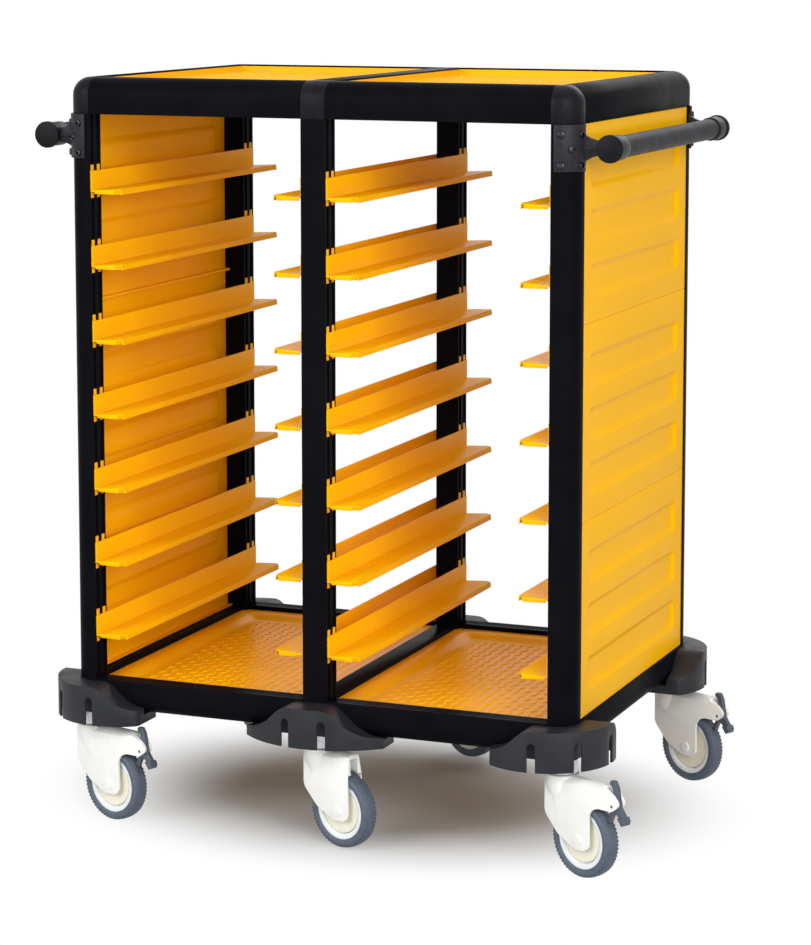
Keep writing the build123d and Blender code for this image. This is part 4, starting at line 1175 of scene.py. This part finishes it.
def floor_material():
    """A plain pale floor that takes the trolley's shadow and goes over to white round it."""
    material, tree = empty_material("painted_floor_pale")
    place = add(tree, "ShaderNodeTexCoord").outputs["Object"]
    reach = add(tree, "ShaderNodeVectorMath", {0: place, 1: PATCH}, operation="DIVIDE")
    far = add(tree, "ShaderNodeVectorMath", {0: reach.outputs[0]}, operation="LENGTH")
    fade = add(
        tree, "ShaderNodeMapRange",
        {"Value": far.outputs["Value"], "From Min": FADE[0], "From Max": FADE[1]},
        interpolation_type="SMOOTHSTEP",
    )
    share = add(tree, "ShaderNodeMath", {0: fade.outputs[0], 1: shown(tree)}, operation="MULTIPLY")
    mottle = add(tree, "ShaderNodeTexNoise", {"Vector": place, "Scale": 1 / (MOTTLE * MM), "Detail": 3.0})
    tone = add(
        tree, "ShaderNodeMix", {0: mottle.outputs[0], 6: (*linear(PAINT[0]), 1), 7: (*linear(PAINT[1]), 1)},
        data_type="RGBA",
    )
    matt = add(tree, "ShaderNodeBsdfPrincipled", {"Base Color": tone.outputs[2], "Roughness": 0.75})
    white = add(tree, "ShaderNodeEmission", {"Color": WHITE, "Strength": 1.0})
    both = add(tree, "ShaderNodeMixShader", {0: share.outputs[0], 1: matt.outputs[0], 2: white.outputs[0]})
    add(tree, "ShaderNodeOutputMaterial", {"Surface": both.outputs[0]})
    return material


def make_world(scene, strength):
    """Even light from all round, which looks white to the camera, to gloss and through glass."""
    world = bpy.data.worlds.new("studio")
    world.use_nodes = True
    scene.world = world
    tree = world.node_tree
    tree.nodes.clear()
    light = add(tree, "ShaderNodeBackground", {"Color": WHITE, "Strength": strength})
    white = add(tree, "ShaderNodeBackground", {"Color": WHITE, "Strength": 1.0})
    both = add(tree, "ShaderNodeMixShader", {0: shown(tree), 1: light.outputs[0], 2: white.outputs[0]})
    add(tree, "ShaderNodeOutputWorld", {"Surface": both.outputs[0]})


# Operators


class TROLLEY_OT_frame(bpy.types.Operator):
    """Finish the posts, beams and caps"""

    bl_idname = "trolley.frame"
    bl_label = "Posts, beams and caps"

    def execute(self, context):
        return run(build_frame)


class TROLLEY_OT_panels(bpy.types.Operator):
    """Build the pressed side panels"""

    bl_idname = "trolley.panels"
    bl_label = "Side panels"

    def execute(self, context):
        return run(build_panels)


class TROLLEY_OT_pans(bpy.types.Operator):
    """Build the floor pans and top plates"""

    bl_idname = "trolley.pans"
    bl_label = "Floor pans and top plates"

    def execute(self, context):
        return run(build_pans)


class TROLLEY_OT_rails(bpy.types.Operator):
    """Build the tray rails"""

    bl_idname = "trolley.rails"
    bl_label = "Tray rails"

    def execute(self, context):
        return run(build_rails)


class TROLLEY_OT_handles(bpy.types.Operator):
    """Build the push handles"""

    bl_idname = "trolley.handles"
    bl_label = "Push handles"

    def execute(self, context):
        return run(build_handles)


class TROLLEY_OT_bumpers(bpy.types.Operator):
    """Build the bumpers"""

    bl_idname = "trolley.bumpers"
    bl_label = "Bumpers"

    def execute(self, context):
        return run(build_bumpers)


class TROLLEY_OT_castors(bpy.types.Operator):
    """Build the castors"""

    bl_idname = "trolley.castors"
    bl_label = "Castors"

    def execute(self, context):
        return run(build_castors)


class TROLLEY_OT_stage(bpy.types.Operator):
    """Set up the floor, the lights and the camera"""

    bl_idname = "trolley.stage"
    bl_label = "Stage"

    def execute(self, context):
        return run(build_stage)


class TROLLEY_PT_pieces(bpy.types.Panel):
    """The trolley's sizes, colours and pieces"""

    bl_idname = "TROLLEY_PT_pieces"
    bl_label = "Tray trolley"
    bl_space_type = "VIEW_3D"
    bl_region_type = "UI"
    bl_category = "Trolley"

    def draw(self, context):
        layout = self.layout
        for operator in OPERATORS:
            layout.operator(operator.bl_idname)
        for name in SETTINGS:
            box = layout.box()
            group = getattr(context.scene, name)
            for key in group.__annotations__:
                box.prop(group, key)


SETTINGS = {
    "trolley_colours": TrolleyColours,
    "trolley_panel": TrolleyPanel,
    "trolley_pan": TrolleyPan,
    "trolley_tread": TrolleyTread,
    "trolley_rail": TrolleyRail,
    "trolley_wheel": TrolleyWheel,
    "trolley_fittings": TrolleyFittings,
    "trolley_stage": TrolleyStage,
}
OPERATORS = [
    TROLLEY_OT_stage,
    TROLLEY_OT_frame,
    TROLLEY_OT_panels,
    TROLLEY_OT_pans,
    TROLLEY_OT_rails,
    TROLLEY_OT_handles,
    TROLLEY_OT_bumpers,
    TROLLEY_OT_castors,
]


def register():
    for group in SETTINGS.values():
        bpy.utils.register_class(group)
    for name, group in SETTINGS.items():
        setattr(bpy.types.Scene, name, PointerProperty(type=group))
    for operator in OPERATORS:
        bpy.utils.register_class(operator)
    bpy.utils.register_class(TROLLEY_PT_pieces)


def unregister():
    bpy.utils.unregister_class(TROLLEY_PT_pieces)
    for operator in reversed(OPERATORS):
        bpy.utils.unregister_class(operator)
    for name in SETTINGS:
        delattr(bpy.types.Scene, name)
    for group in reversed(list(SETTINGS.values())):
        bpy.utils.unregister_class(group)


def main():
    """Builds everything in order."""
    register()
    for operator in OPERATORS:
        space, name = operator.bl_idname.split(".")
        getattr(getattr(bpy.ops, space), name)()


if __name__ == "__main__":
    main()
